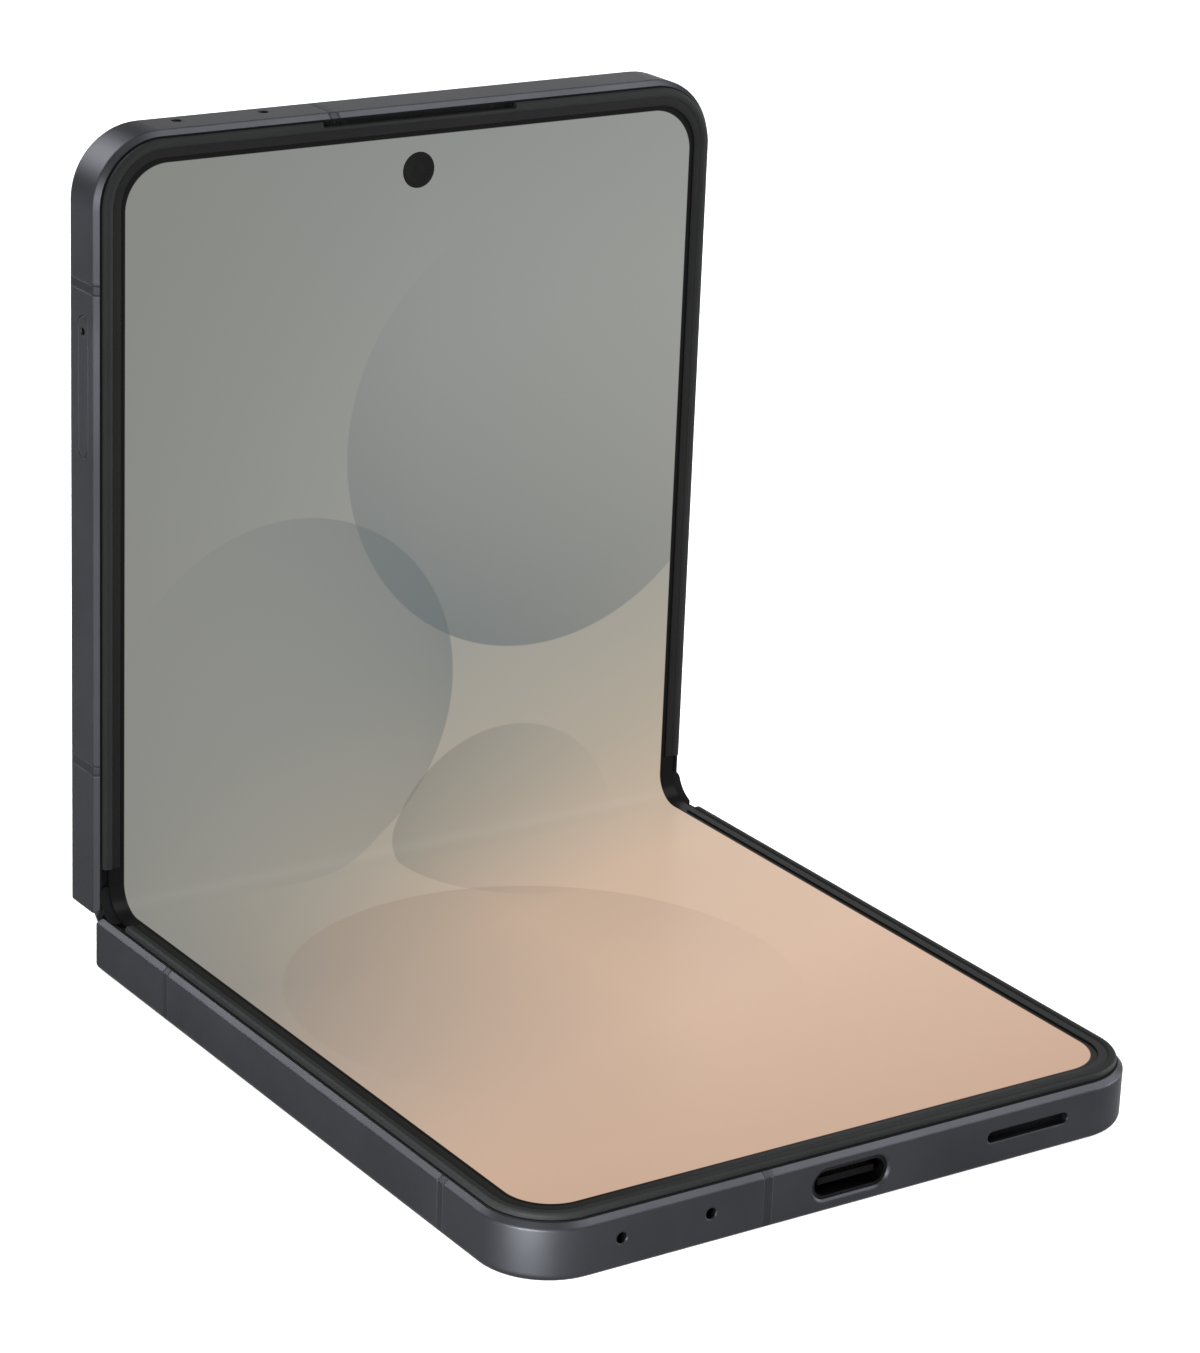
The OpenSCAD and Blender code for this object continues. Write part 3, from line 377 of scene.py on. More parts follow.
class GeometryTree(NodeMaker):
    """A Geometry Nodes tree with named inputs, made in the script."""

    def __init__(self, name: str, takes_mesh: bool = False) -> None:
        """Starts the tree.

        Args:
            name: The tree's name.
            takes_mesh: Whether the tree works on the object's own mesh.
        """
        super().__init__(bpy.data.node_groups.new(name, "GeometryNodeTree"))
        if takes_mesh:
            self.tree.interface.new_socket("Geometry", in_out="INPUT", socket_type="NodeSocketGeometry")
        self.tree.interface.new_socket("Geometry", in_out="OUTPUT", socket_type="NodeSocketGeometry")
        self.entry = self.tree.nodes.new("NodeGroupInput")
        self.exit = self.tree.nodes.new("NodeGroupOutput")

    def size(self, name: str, kind: str = "NodeSocketFloat") -> Socket:
        """Adds a named input and returns its socket inside the tree."""
        self.tree.interface.new_socket(name, in_out="INPUT", socket_type=kind)
        return self.entry.outputs[name]

    def vector(self, x: Feed = 0.0, y: Feed = 0.0, z: Feed = 0.0) -> Socket:
        """Three numbers as a vector."""
        return self.add("ShaderNodeCombineXYZ", X=x, Y=y, Z=z).outputs[0]

    def moved(self, shape: Socket, by: Socket) -> Socket:
        """A geometry moved by a vector."""
        return self.add("GeometryNodeTransform", Geometry=shape, Translation=by).outputs[0]

    def merge(self, *shapes: Socket) -> Socket:
        """Several geometries as one.

        Args:
            *shapes: The geometries.

        Returns:
            The joined geometry.
        """
        node = self.tree.nodes.new("GeometryNodeJoinGeometry")
        for shape in shapes:
            self.tree.links.new(shape, node.inputs[0])
        return node.outputs[0]

    def end(self, shape: Socket) -> None:
        """Ends the tree in Realize Instances and Set Material.

        Args:
            shape: What the tree has made.
        """
        real = self.add("GeometryNodeRealizeInstances", Geometry=shape)
        material = self.size("Material", "NodeSocketMaterial")
        dressed = self.add("GeometryNodeSetMaterial", Geometry=real.outputs[0], Material=material)
        self.tree.links.new(dressed.outputs[0], self.exit.inputs[0])

    def grow(
        self, material: bpy.types.Material, base: Optional[bpy.types.Mesh] = None, **sizes: float
    ) -> bpy.types.Mesh:
        """Runs the tree once and returns what it makes as a plain mesh.

        Args:
            material: The material that the tree sets.
            base: The mesh that the tree works on, where it takes one.
            **sizes: Values for the named inputs, spaces written as underscores.

        Returns:
            The plain mesh.
        """
        holder = bpy.data.objects.new("holder", base or bpy.data.meshes.new("holder"))
        bpy.context.scene.collection.objects.link(holder)
        modifier = holder.modifiers.new("grow", "NODES")
        modifier.node_group = self.tree
        wanted = {key.replace("_", " "): value for key, value in sizes.items()}
        wanted["Material"] = material
        for item in self.tree.interface.items_tree:
            if item.in_out == "INPUT" and item.name in wanted:
                modifier[item.identifier] = wanted[item.name]
        bpy.context.view_layer.update()
        evaluated = holder.evaluated_get(bpy.context.evaluated_depsgraph_get())
        mesh = bpy.data.meshes.new_from_object(evaluated)
        holder.modifiers.clear()
        bpy.data.objects.remove(holder)
        return mesh


def strip_tree(fillet_points: int = 5) -> GeometryTree:
    """A tree that sweeps a rounded strip along the edges of its mesh.

    Args:
        fillet_points: Points on each rounded corner of the section.

    Returns:
        The tree.
    """
    tree = GeometryTree("swept_strip", takes_mesh=True)
    width, height, rounding = tree.size("Width"), tree.size("Height"), tree.size("Rounding")
    path = tree.add("GeometryNodeMeshToCurve", Mesh=tree.entry.outputs["Geometry"])
    level = tree.add("GeometryNodeSetCurveNormal", {"mode": "Z_UP"}, Curve=path.outputs[0])
    section = tree.add("GeometryNodeCurvePrimitiveQuadrilateral", Width=width, Height=height)
    soft = tree.add(
        "GeometryNodeFilletCurve", {"mode": "POLY"}, Curve=section.outputs[0], Radius=rounding, Count=fillet_points
    )
    swept = tree.add(
        "GeometryNodeCurveToMesh", Curve=level.outputs[0], Profile_Curve=soft.outputs[0], Fill_Caps=True
    )
    tree.end(swept.outputs[0])
    return tree


def wire_cloth_tree(wire_sides: int = 6, offset_in_radii: float = 1.2) -> GeometryTree:
    """A tree that lays crossed wires over an oblong with round ends, in the XZ plane.

    Args:
        wire_sides: Sides of a wire.
        offset_in_radii: How far the level wires lie behind the upright ones.

    Returns:
        The tree.
    """
    tree = GeometryTree("wire_cloth")
    straight, rise = tree.size("Half Straight"), tree.size("Half Height")
    pitch, radius = tree.size("Pitch"), tree.size("Wire Radius")
    reach = tree.calc("ADD", straight, rise)
    rise_squared = tree.calc("MULTIPLY", rise, rise)

    def row(extent: Socket, axis: str) -> Socket:
        """Points a pitch apart on one axis, centred on the origin.

        Args:
            extent: Half the row's length.
            axis: The axis, x or z.

        Returns:
            The points.
        """
        count = tree.calc("FLOOR", tree.calc("DIVIDE", tree.calc("MULTIPLY", extent, 2.0), pitch))
        span = tree.calc("MULTIPLY", tree.calc("SUBTRACT", count, 1.0), pitch)
        start = tree.calc("MULTIPLY", span, -0.5)
        line = tree.add(
            "GeometryNodeMeshLine",
            Count=count,
            Start_Location=tree.vector(**{axis: start}),
            Offset=tree.vector(**{axis: pitch}),
        )
        return line.outputs[0]

    def chord(distance: Socket) -> Socket:
        """Half the height of a round end at a distance from its centre."""
        square = tree.calc("MULTIPLY", distance, distance)
        return tree.calc("SQRT", tree.calc("MAXIMUM", tree.calc("SUBTRACT", rise_squared, square), 1e-9))

    place = tree.add("ShaderNodeSeparateXYZ", Vector=tree.add("GeometryNodeInputPosition").outputs[0])
    past = tree.calc("MAXIMUM", tree.calc("SUBTRACT", tree.calc("ABSOLUTE", place.outputs["X"]), straight), 0.0)
    wire = tree.add(
        "GeometryNodeMeshCylinder", Vertices=wire_sides, Side_Segments=1, Fill_Segments=1, Radius=radius, Depth=1.0
    )
    upright = tree.add(
        "GeometryNodeInstanceOnPoints",
        Points=row(reach, "x"),
        Instance=wire.outputs[0],
        Scale=tree.vector(1.0, 1.0, tree.calc("MULTIPLY", chord(past), 2.0)),
    )
    length = tree.calc("MULTIPLY", tree.calc("ADD", straight, chord(place.outputs["Z"])), 2.0)
    level = tree.add(
        "GeometryNodeInstanceOnPoints",
        Points=row(rise, "z"),
        Instance=wire.outputs[0],
        Rotation=(0.0, math.pi / 2, 0.0),
        Scale=tree.vector(1.0, 1.0, length),
    )
    behind = tree.moved(level.outputs[0], tree.vector(y=tree.calc("MULTIPLY", radius, offset_in_radii)))
    tree.end(tree.merge(upright.outputs[0], behind))
    return tree


def contact_tree() -> GeometryTree:
    """A tree that sets a row of contact pads on both faces of a blade in the XY plane.

    Returns:
        The tree.
    """
    tree = GeometryTree("contact_pads")
    count, pitch = tree.size("Count", "NodeSocketInt"), tree.size("Pitch")
    width, length, thickness = tree.size("Pad Width"), tree.size("Pad Length"), tree.size("Pad Thickness")
    lift = tree.size("Lift")
    span = tree.calc("MULTIPLY", tree.calc("SUBTRACT", count, 1.0), pitch)
    line = tree.add(
        "GeometryNodeMeshLine",
        Count=count,
        Start_Location=tree.vector(tree.calc("MULTIPLY", span, -0.5)),
        Offset=tree.vector(pitch),
    )
    pad = tree.add("GeometryNodeMeshCube", Size=tree.vector(width, length, thickness))
    rows = tree.add("GeometryNodeInstanceOnPoints", Points=line.outputs[0], Instance=pad.outputs[0]).outputs[0]
    above = tree.moved(rows, tree.vector(z=lift))
    below = tree.moved(rows, tree.vector(z=tree.calc("MULTIPLY", lift, -1.0)))
    tree.end(tree.merge(above, below))
    return tree


# ---- Finishes ----


def scaled(colour: Colour, by: float) -> Colour:
    """A colour made lighter or darker."""
    return tuple(min(1.0, value * by) for value in colour)


class Shader(NodeMaker):
    """One material's node tree, with short calls for its nodes."""

    # Sockets of the mix node that belong to colours: its factor, its two colours and its result
    MIX_FACTOR, MIX_FIRST, MIX_SECOND, MIX_RESULT = 0, 6, 7, 2

    def __init__(self, name: str) -> None:
        """Starts an empty tree with an output and a coordinate node.

        Args:
            name: The material's name.
        """
        self.material = bpy.data.materials.new(name)
        self.material.use_nodes = True
        super().__init__(self.material.node_tree)
        self.tree.nodes.clear()
        self.output = self.tree.nodes.new("ShaderNodeOutputMaterial")
        self.place = self.tree.nodes.new("ShaderNodeTexCoord").outputs["Object"]

    def split(self, vector: Socket) -> tuple[Socket, Socket, Socket]:
        """A vector's three numbers."""
        node = self.add("ShaderNodeSeparateXYZ", Vector=vector)
        return node.outputs[0], node.outputs[1], node.outputs[2]

    def stretched(self, x: float, y: float, z: float) -> Socket:
        """The object's coordinates, scaled along each axis."""
        return self.add("ShaderNodeMapping", Vector=self.place, Scale=(x, y, z)).outputs[0]

    def length(self, across: Socket, along: Socket) -> Socket:
        """The length of a flat vector."""
        squares = self.calc("MULTIPLY", across, across), self.calc("MULTIPLY", along, along)
        return self.calc("SQRT", self.calc("ADD", *squares))

    def noise(self, scale: float, detail: float = 2.0, vector: Optional[Socket] = None) -> Socket:
        """Soft noise of 0 to 1."""
        node = self.add("ShaderNodeTexNoise", Vector=vector or self.place, Scale=scale, Detail=detail)
        return node.outputs[0]

    def ranged(self, value: Feed, low: float, high: float, to_low: float = 0.0, to_high: float = 1.0) -> Socket:
        """A number carried from one range to another, held within it.

        Args:
            value: The number.
            low: The first range's start.
            high: The first range's end.
            to_low: The second range's start.
            to_high: The second range's end.

        Returns:
            The number in the second range.
        """
        node = self.add(
            "ShaderNodeMapRange", Value=value, From_Min=low, From_Max=high, To_Min=to_low, To_Max=to_high
        )
        return node.outputs[0]

    def mix(self, factor: Feed, first: Feed, second: Feed, blend: str = "MIX") -> Socket:
        """Two colours mixed.

        Args:
            factor: 0 for the first colour, 1 for the second.
            first: The first colour.
            second: The second colour.
            blend: How the second colour goes over the first.

        Returns:
            The colour.
        """
        node = self.add("ShaderNodeMix", {"data_type": "RGBA", "blend_type": blend})
        self.feed(node.inputs[self.MIX_FACTOR], factor)
        self.feed(node.inputs[self.MIX_FIRST], first)
        self.feed(node.inputs[self.MIX_SECOND], second)
        return node.outputs[self.MIX_RESULT]

    def ramp(self, factor: Socket, stops: Sequence[tuple[float, Colour]]) -> Socket:
        """A colour read off a row of stops.

        Args:
            factor: Where on the row, from 0 to 1.
            stops: Pairs of place and colour, in order.

        Returns:
            The colour.
        """
        node = self.add("ShaderNodeValToRGB", Fac=factor)
        row = node.color_ramp.elements
        while len(row) < len(stops):
            row.new(0.5)
        for element, (place, colour) in zip(row, stops):
            element.position = place
            element.color = (*colour, 1.0)
        return node.outputs[0]

    def softened(self, radius: float) -> Socket:
        """A normal that rounds the edges over, with the radius in millimetres."""
        return self.add("ShaderNodeBevel", {"samples": 6}, Radius=radius * MM).outputs[0]

    def bump(self, height: Socket, depth: float, normal: Optional[Socket] = None) -> Socket:
        """A normal raised by a height.

        Args:
            height: The height, from 0 to 1.
            depth: What a height of 1 stands for.
            normal: The normal before, where it isn't the mesh's own.

        Returns:
            The normal.
        """
        node = self.add("ShaderNodeBump", Height=height, Distance=depth * MM)
        if normal is not None:
            self.feed(node.inputs["Normal"], normal)
        return node.outputs[0]

    def close(self, **feeds: Feed) -> bpy.types.Material:
        """Adds the surface shader and feeds it.

        Args:
            **feeds: Values or sockets for its inputs, spaces in their names written as underscores.

        Returns:
            The material.
        """
        surface = self.add("ShaderNodeBsdfPrincipled", **feeds)
        self.tree.links.new(surface.outputs[0], self.output.inputs[0])
        return self.material


class Finish(Protocol):
    """What every finish offers."""

    @property
    def name(self) -> str:
        """The material's name."""

    def build(self) -> bpy.types.Material:
        """Makes the material."""


@dataclass(frozen=True)
class AnodisedAluminium:
    """Blasted and anodised aluminium: dark, even, with a very fine tooth and rounded edges."""

    name: str
    colour: Colour = srgb(44, 45, 48)
    roughness: float = 0.46
    tooth: float = 0.0012
    edge: float = 0.3
    grazing: float = 0.6
    cloud_scale: float = 90.0
    tooth_scale: float = 9000.0
    lighter: float = 1.14
    darker: float = 0.9
    swing: float = 0.05

    def build(self) -> bpy.types.Material:
        """Makes the finish's node tree.

        Returns:
            The material.
        """
        shader = Shader(self.name)
        cloud = shader.ranged(shader.noise(self.cloud_scale, 3.0), 0.3, 0.7)
        tooth = shader.noise(self.tooth_scale)
        return shader.close(
            Base_Color=shader.mix(cloud, scaled(self.colour, self.darker), scaled(self.colour, self.lighter)),
            Roughness=shader.ranged(tooth, 0.2, 0.8, self.roughness - self.swing, self.roughness + self.swing),
            Metallic=1.0,
            Specular_Tint=(self.grazing, self.grazing, self.grazing),
            Normal=shader.bump(tooth, self.tooth, normal=shader.softened(self.edge)),
        )


@dataclass(frozen=True)
class MouldedPlastic:
    """Moulded plastic with a fine spark-eroded texture."""

    name: str
    colour: Colour
    roughness: float = 0.5
    texture: float = 0.002
    gloss: float = 0.4
    cloud_scale: float = 140.0
    grain_scale: float = 5200.0
    lighter: float = 1.18
    swing: float = 0.06

    def build(self) -> bpy.types.Material:
        """Makes the finish's node tree.

        Returns:
            The material.
        """
        shader = Shader(self.name)
        grain = shader.noise(self.grain_scale, 3.0)
        cloud = shader.ranged(shader.noise(self.cloud_scale), 0.3, 0.7)
        return shader.close(
            Base_Color=shader.mix(cloud, self.colour, scaled(self.colour, self.lighter)),
            Roughness=shader.ranged(grain, 0.25, 0.75, self.roughness - self.swing, self.roughness + self.swing),
            Specular_IOR_Level=self.gloss,
            Normal=shader.bump(grain, self.texture),
        )


@dataclass(frozen=True)
class FormedSteel:
    """Bright steel or nickel with the fine lines of rolling or turning."""

    name: str
    colour: Colour = srgb(168, 168, 172)
    roughness: float = 0.3
    lines: tuple[float, float, float] = (300.0, 9000.0, 9000.0)
    line_depth: float = 0.0015
    stain_scale: float = 220.0
    darker: float = 0.8
    smoother: float = 0.08
    rougher: float = 0.1

    def build(self) -> bpy.types.Material:
        """Makes the finish's node tree.

        Returns:
            The material.
        """
        shader = Shader(self.name)
        streak = shader.noise(1.0, 2.0, shader.stretched(*self.lines))
        stain = shader.ranged(shader.noise(self.stain_scale, 3.0), 0.35, 0.7)
        return shader.close(
            Base_Color=shader.mix(stain, self.colour, scaled(self.colour, self.darker)),
            Roughness=shader.ranged(streak, 0.2, 0.8, self.roughness - self.smoother, self.roughness + self.rougher),
            Metallic=1.0,
            Normal=shader.bump(streak, self.line_depth),
        )


@dataclass(frozen=True)
class PanelGlass:
    """Coloured glass over the back: glossy, or frosted by etching."""

    name: str
    colour: Colour
    roughness: float
    frost: float = 0.0001
    etch_scale: float = 7000.0
    depth_scale: float = 30.0
    darker: float = 0.82
    swing: float = 0.15

    def build(self) -> bpy.types.Material:
        """Makes the finish's node tree.

        Returns:
            The material.
        """
        shader = Shader(self.name)
        etch = shader.noise(self.etch_scale)
        depth = shader.ranged(shader.noise(self.depth_scale), 0.35, 0.65)
        smoothest, roughest = self.roughness * (1 - self.swing), self.roughness * (1 + self.swing)
        return shader.close(
            Base_Color=shader.mix(depth, self.colour, scaled(self.colour, self.darker)),
            Roughness=shader.ranged(etch, 0.2, 0.8, smoothest, roughest),
            IOR=1.5,
            Normal=shader.bump(etch, self.frost),
        )


@dataclass(frozen=True)
class CoatedLens:
    """Dark coated glass, tinted more towards its rim, for lenses in a row across a half."""

    name: str
    centres: tuple[float, ...]
    height: float
    radius: float
    inner: Colour = srgb(10, 12, 22)
    rim: Colour = srgb(40, 30, 58)
    rim_start: float = 0.55
    refraction: float = 1.7
    coat: float = 0.6

    def build(self) -> bpy.types.Material:
        """Makes the finish's node tree.

        Returns:
            The material.
        """
        shader = Shader(self.name)
        x, _, z = shader.split(shader.place)
        nearest: Optional[Socket] = None
        for centre in self.centres:
            across = shader.calc("ABSOLUTE", shader.calc("SUBTRACT", x, centre * MM))
            nearest = across if nearest is None else shader.calc("MINIMUM", nearest, across)
        distance = shader.length(nearest, shader.calc("SUBTRACT", z, self.height * MM))
        share = shader.ranged(distance, 0.0, self.radius * MM)
        return shader.close(
            Base_Color=shader.ramp(share, [(0.0, self.inner), (self.rim_start, self.inner), (1.0, self.rim)]),
            Roughness=shader.ranged(shader.noise(600.0), 0.3, 0.7, 0.03, 0.06),
            IOR=self.refraction,
            Coat_Weight=self.coat,
        )


class PictureSource(Enum):
    """Where a piece of the screen reads its place in the picture from."""

    LOWER = "y"
    UPPER = "z"
    FOLD = "picture"


@dataclass(frozen=True)
class PictureDisc:
    """A translucent round shape in the screen's picture, shaded towards one side."""

    centre: tuple[float, float]
    radius: float
    shade_degrees: float
    strength: float
    colour: Colour


@dataclass(frozen=True)
class ScreenPicture:
    """The lit flexible screen: a soft gradient with overlapping round shapes, and a black border.

    Places in the picture are u across and v along the unrolled screen, from its middle.
    """

    name: str
    source: PictureSource
    half_width: float = 34.45
    half_length: float = 79.94
    corner: float = 4.8
    border_blur: float = 0.04
    tilt: float = 0.32
    reach: float = 90.0
    ground: tuple[tuple[float, Colour], ...] = (
        (0.0, srgb(196, 163, 140)),
        (0.22, srgb(212, 181, 158)),
        (0.38, srgb(205, 179, 157)),
        (0.5, srgb(172, 163, 148)),
        (0.62, srgb(154, 153, 146)),
        (0.8, srgb(147, 149, 145)),
        (1.0, srgb(134, 138, 135)),
    )
    cool: Colour = srgb(136, 137, 132)
    cool_across: tuple[float, float] = (2.0, -36.0)
    cool_along: tuple[float, float] = (-72.0, -24.0)
    cool_strength: float = 0.85
    side_width: float = 36.0
    # Painted light: the picture dims towards the left side and brightens towards the right.
    side_light: tuple[float, float] = (0.95, 1.04)
    disc_blur: float = 0.08
    disc_falloff: float = 1.8
    discs: tuple[PictureDisc, ...] = (
        PictureDisc((17.0, 46.0), 25.0, 250.0, 0.62, srgb(92, 103, 108)),
        PictureDisc((-15.0, 19.0), 21.0, 20.0, 0.54, srgb(96, 106, 109)),
        PictureDisc((13.0, -3.0), 15.0, 140.0, 0.44, srgb(110, 112, 107)),
        PictureDisc((-6.0, -38.0), 27.0, 95.0, 0.32, srgb(144, 127, 112)),
    )

    def build(self) -> bpy.types.Material:
        """Makes the finish's node tree.

        Returns:
            The material.
        """
        shader = Shader(self.name)
        u, v = self._place(shader)
        tilted = shader.calc("SUBTRACT", v, shader.calc("MULTIPLY", u, self.tilt))
        ground = shader.ramp(shader.ranged(tilted, -self.reach, self.reach), self.ground)
        leftwards = shader.ranged(u, *self.cool_across, 0.0, self.cool_strength)
        foldwards = shader.ranged(v, *self.cool_along)
        ground = shader.mix(shader.calc("MULTIPLY", leftwards, foldwards), ground, self.cool)
        # Painted light across the screen: darker on the left, lighter on the right.
        side = shader.ranged(u, -self.side_width, self.side_width, *self.side_light)
        grey = shader.add("ShaderNodeCombineColor", Red=side, Green=side, Blue=side).outputs[0]
        picture = shader.mix(1.0, ground, grey, "MULTIPLY")
        for disc in self.discs:
            picture = self._with_disc(shader, picture, disc, u, v)
        return shader.close(
            Base_Color=(0.003, 0.003, 0.003),
            Roughness=shader.ranged(shader.noise(400.0), 0.3, 0.7, 0.3, 0.34),
            Specular_IOR_Level=0.02,
            Emission_Color=shader.mix(self._lit(shader, u, v), (0.0, 0.0, 0.0), picture),
            Emission_Strength=1.0,
        )

    def _place(self, shader: Shader) -> tuple[Socket, Socket]:
        """The place in the picture.

        Args:
            shader: The tree to add to.

        Returns:
            The two numbers, u and v.
        """
        if self.source is PictureSource.FOLD:
            attribute = shader.add("ShaderNodeAttribute", {"attribute_name": self.source.value})
            u, v, _ = shader.split(attribute.outputs["Vector"])
            return u, v
        x, y, z = shader.split(shader.stretched(1 / MM, 1 / MM, 1 / MM))
        if self.source is PictureSource.LOWER:
            return x, shader.calc("SUBTRACT", y, BEND_Y + BEND_HALF_ARC)
        return x, shader.calc("SUBTRACT", z, BEND_Z - BEND_HALF_ARC)

    def _lit(self, shader: Shader, u: Socket, v: Socket) -> Socket:
        """The lit area with its round corners.

        Args:
            shader: The tree to add to.
            u: Across the screen.
            v: Along the screen.

        Returns:
            1 inside the lit area, 0 in the black border.
        """

        def past(place: Socket, half: float) -> Socket:
            """How far a place lies past the start of a corner."""
            out = shader.calc("SUBTRACT", shader.calc("ABSOLUTE", place), half - self.corner)
            return shader.calc("MAXIMUM", out, 0.0)

        distance = shader.length(past(u, self.half_width), past(v, self.half_length))
        return shader.ranged(distance, self.corner - self.border_blur, self.corner + self.border_blur, 1.0, 0.0)

    def _with_disc(self, shader: Shader, under: Socket, disc: PictureDisc, u: Socket, v: Socket) -> Socket:
        """The picture with one more round shape over it.

        Args:
            shader: The tree to add to.
            under: The picture so far.
            disc: The shape.
            u: Across the screen.
            v: Along the screen.

        Returns:
            The new picture.
        """
        du = shader.calc("SUBTRACT", u, disc.centre[0])
        dv = shader.calc("SUBTRACT", v, disc.centre[1])
        distance = shader.length(du, dv)
        inside = shader.ranged(distance, disc.radius - self.disc_blur, disc.radius + self.disc_blur, 1.0, 0.0)
        turn = math.radians(disc.shade_degrees)
        towards = shader.calc(
            "ADD", shader.calc("MULTIPLY", du, math.cos(turn)), shader.calc("MULTIPLY", dv, math.sin(turn))
        )
        slope = shader.ranged(towards, -disc.radius, disc.radius)
        depth = shader.calc("MULTIPLY", shader.calc("POWER", slope, self.disc_falloff), disc.strength)
        return shader.mix(shader.calc("MULTIPLY", depth, inside), under, disc.colour)


@dataclass(frozen=True)
class CircuitBoard:
    """Solder mask over copper runs."""

    name: str = "circuit_board"
    mask: Colour = srgb(18, 44, 36)
    run: Colour = srgb(34, 78, 60)
    run_scale: float = 900.0
    run_depth: float = 0.01

    def build(self) -> bpy.types.Material:
        """Makes the finish's node tree.

        Returns:
            The material.
        """
        shader = Shader(self.name)
        cells = shader.add(
            "ShaderNodeTexVoronoi", {"feature": "DISTANCE_TO_EDGE"}, Vector=shader.place, Scale=self.run_scale
        ).outputs[0]
        runs = shader.ranged(cells, 0.04, 0.09, 1.0, 0.0)
        return shader.close(
            Base_Color=shader.mix(runs, self.mask, self.run),
            Roughness=0.35,
            Normal=shader.bump(runs, self.run_depth),
        )


@dataclass(frozen=True)
class WoundCopper:
    """Round copper wire laid in flat turns about an axis square to the lower back."""

    name: str = "wound_copper"
    centre_y: float = 4.5
    turn_pitch: float = 0.5
    turn_depth: float = 0.05
    # Painted shade: the grooves between the turns are painted dark, while the crests keep copper's colour.
    groove_shade: Colour = srgb(96, 44, 22)
    crest: Colour = srgb(196, 112, 66)

    def build(self) -> bpy.types.Material:
        """Makes the finish's node tree.

        Returns:
            The material.
        """
        shader = Shader(self.name)
        x, y, _ = shader.split(shader.place)
        distance = shader.length(x, shader.calc("SUBTRACT", y, self.centre_y * MM))
        wave = shader.calc("SINE", shader.calc("MULTIPLY", distance, 2 * math.pi / (self.turn_pitch * MM)))
        height = shader.ranged(wave, -1.0, 1.0)
        return shader.close(
            # Painted shade that follows the turns' height: dark in the grooves, copper on the crests.
            Base_Color=shader.mix(height, self.groove_shade, self.crest),
            Roughness=0.32,
            Metallic=1.0,
            Normal=shader.bump(height, self.turn_depth),
        )


@dataclass(frozen=True)
class CreasedFoil:
    """Thin wrap or tape with soft creases, over a battery or a ribbon cable."""

    name: str
    colour: Colour
    crease: float = 0.02
    roughness: float = 0.4
    crease_scale: float = 320.0
    # How much lighter the painted crease crests are.
    lighter: float = 1.35
    swing: float = 0.08

    def build(self) -> bpy.types.Material:
        """Makes the finish's node tree.

        Returns:
            The material.
        """
        shader = Shader(self.name)
        folds = shader.noise(self.crease_scale, 4.0)
        # Painted light and shade: the crease crests are painted lighter than the hollows, following the bump.
        lit = shader.ranged(folds, 0.35, 0.65)
        return shader.close(
            Base_Color=shader.mix(lit, self.colour, scaled(self.colour, self.lighter)),
            Roughness=shader.ranged(folds, 0.3, 0.7, self.roughness - self.swing, self.roughness + self.swing),
            Normal=shader.bump(folds, self.crease),
        )


@dataclass
class FinishBook:
    """Every finish of the phone, made once and looked up by name."""

    made: dict[str, bpy.types.Material] = field(default_factory=dict)

    def use(self, finish: Finish) -> bpy.types.Material:
        """The material of a finish, made at its first use.

        Args:
            finish: The finish.

        Returns:
            The material.
        """
        if finish.name not in self.made:
            self.made[finish.name] = finish.build()
        return self.made[finish.name]


FRAME_METAL = AnodisedAluminium("frame_metal")
KEY_METAL = AnodisedAluminium("key_metal", srgb(52, 53, 57), 0.4)
RING_METAL = AnodisedAluminium("ring_metal", srgb(62, 63, 67), 0.28, 0.0006)
HINGE_METAL = AnodisedAluminium("hinge_metal", srgb(60, 61, 66), 0.3, 0.0006)
ANTENNA_PAINT = AnodisedAluminium("antenna_paint", srgb(39, 40, 43), 0.5)
LIP_RUBBER = MouldedPlastic("lip_rubber", srgb(20, 21, 21), 0.6, 0.0015, 0.05)
BORDER_FILM = MouldedPlastic("border_film", srgb(13, 13, 13), 0.45, 0.0004, 0.045)
SEAL = MouldedPlastic("seal", srgb(7, 7, 8), 0.7, 0.0008, 0.03)
CAMERA_WINDOW = MouldedPlastic("camera_window", srgb(10, 10, 10), 0.35, 0.0002, 0.03)
BARREL_BLACK = MouldedPlastic("barrel_black", srgb(14, 14, 15), 0.4, 0.0008, 0.3)
BLACK_PLASTIC = MouldedPlastic("black_plastic", srgb(12, 12, 13), 0.55, 0.002, 0.12)
FERRITE = MouldedPlastic("ferrite", srgb(38, 38, 40), 0.7, 0.006)
FLASH = MouldedPlastic("flash_plastic", srgb(226, 216, 176), 0.2, 0.01, 0.6)
LENS_WINDOW = PanelGlass("lens_window", srgb(8, 8, 10), 0.05)
FROSTED_BACK = PanelGlass("frosted_back", srgb(66, 68, 74), 0.34, 0.0016)
GLOSSY_COVER = PanelGlass("glossy_cover", srgb(11, 12, 14), 0.06)
COVER_DISPLAY = PanelGlass("cover_display", srgb(6, 6, 8), 0.12)
STEEL = FormedSteel("formed_steel")
NICKEL = FormedSteel("nickel", srgb(190, 186, 176), 0.25)
BRASS = FormedSteel("gear_brass", srgb(178, 146, 86), 0.3, (9000.0, 600.0, 600.0))
GOLD_PAD = FormedSteel("gold_pad", srgb(206, 168, 92), 0.25)
CLOTH_STEEL = FormedSteel("cloth_steel", srgb(26, 26, 28), 0.5)
# Painted shade: the socket's steel is near black, standing in for the shade inside the port.
SHADED_SOCKET_STEEL = FormedSteel("socket_steel_painted_shade", srgb(22, 22, 24), 0.45)
BOARD = CircuitBoard()
COPPER = WoundCopper()
BATTERY_FOIL = CreasedFoil("battery_foil", srgb(34, 35, 38))
POLYIMIDE = CreasedFoil("polyimide", srgb(176, 104, 30), 0.004, 0.3)


# ---- Sub-assemblies ----


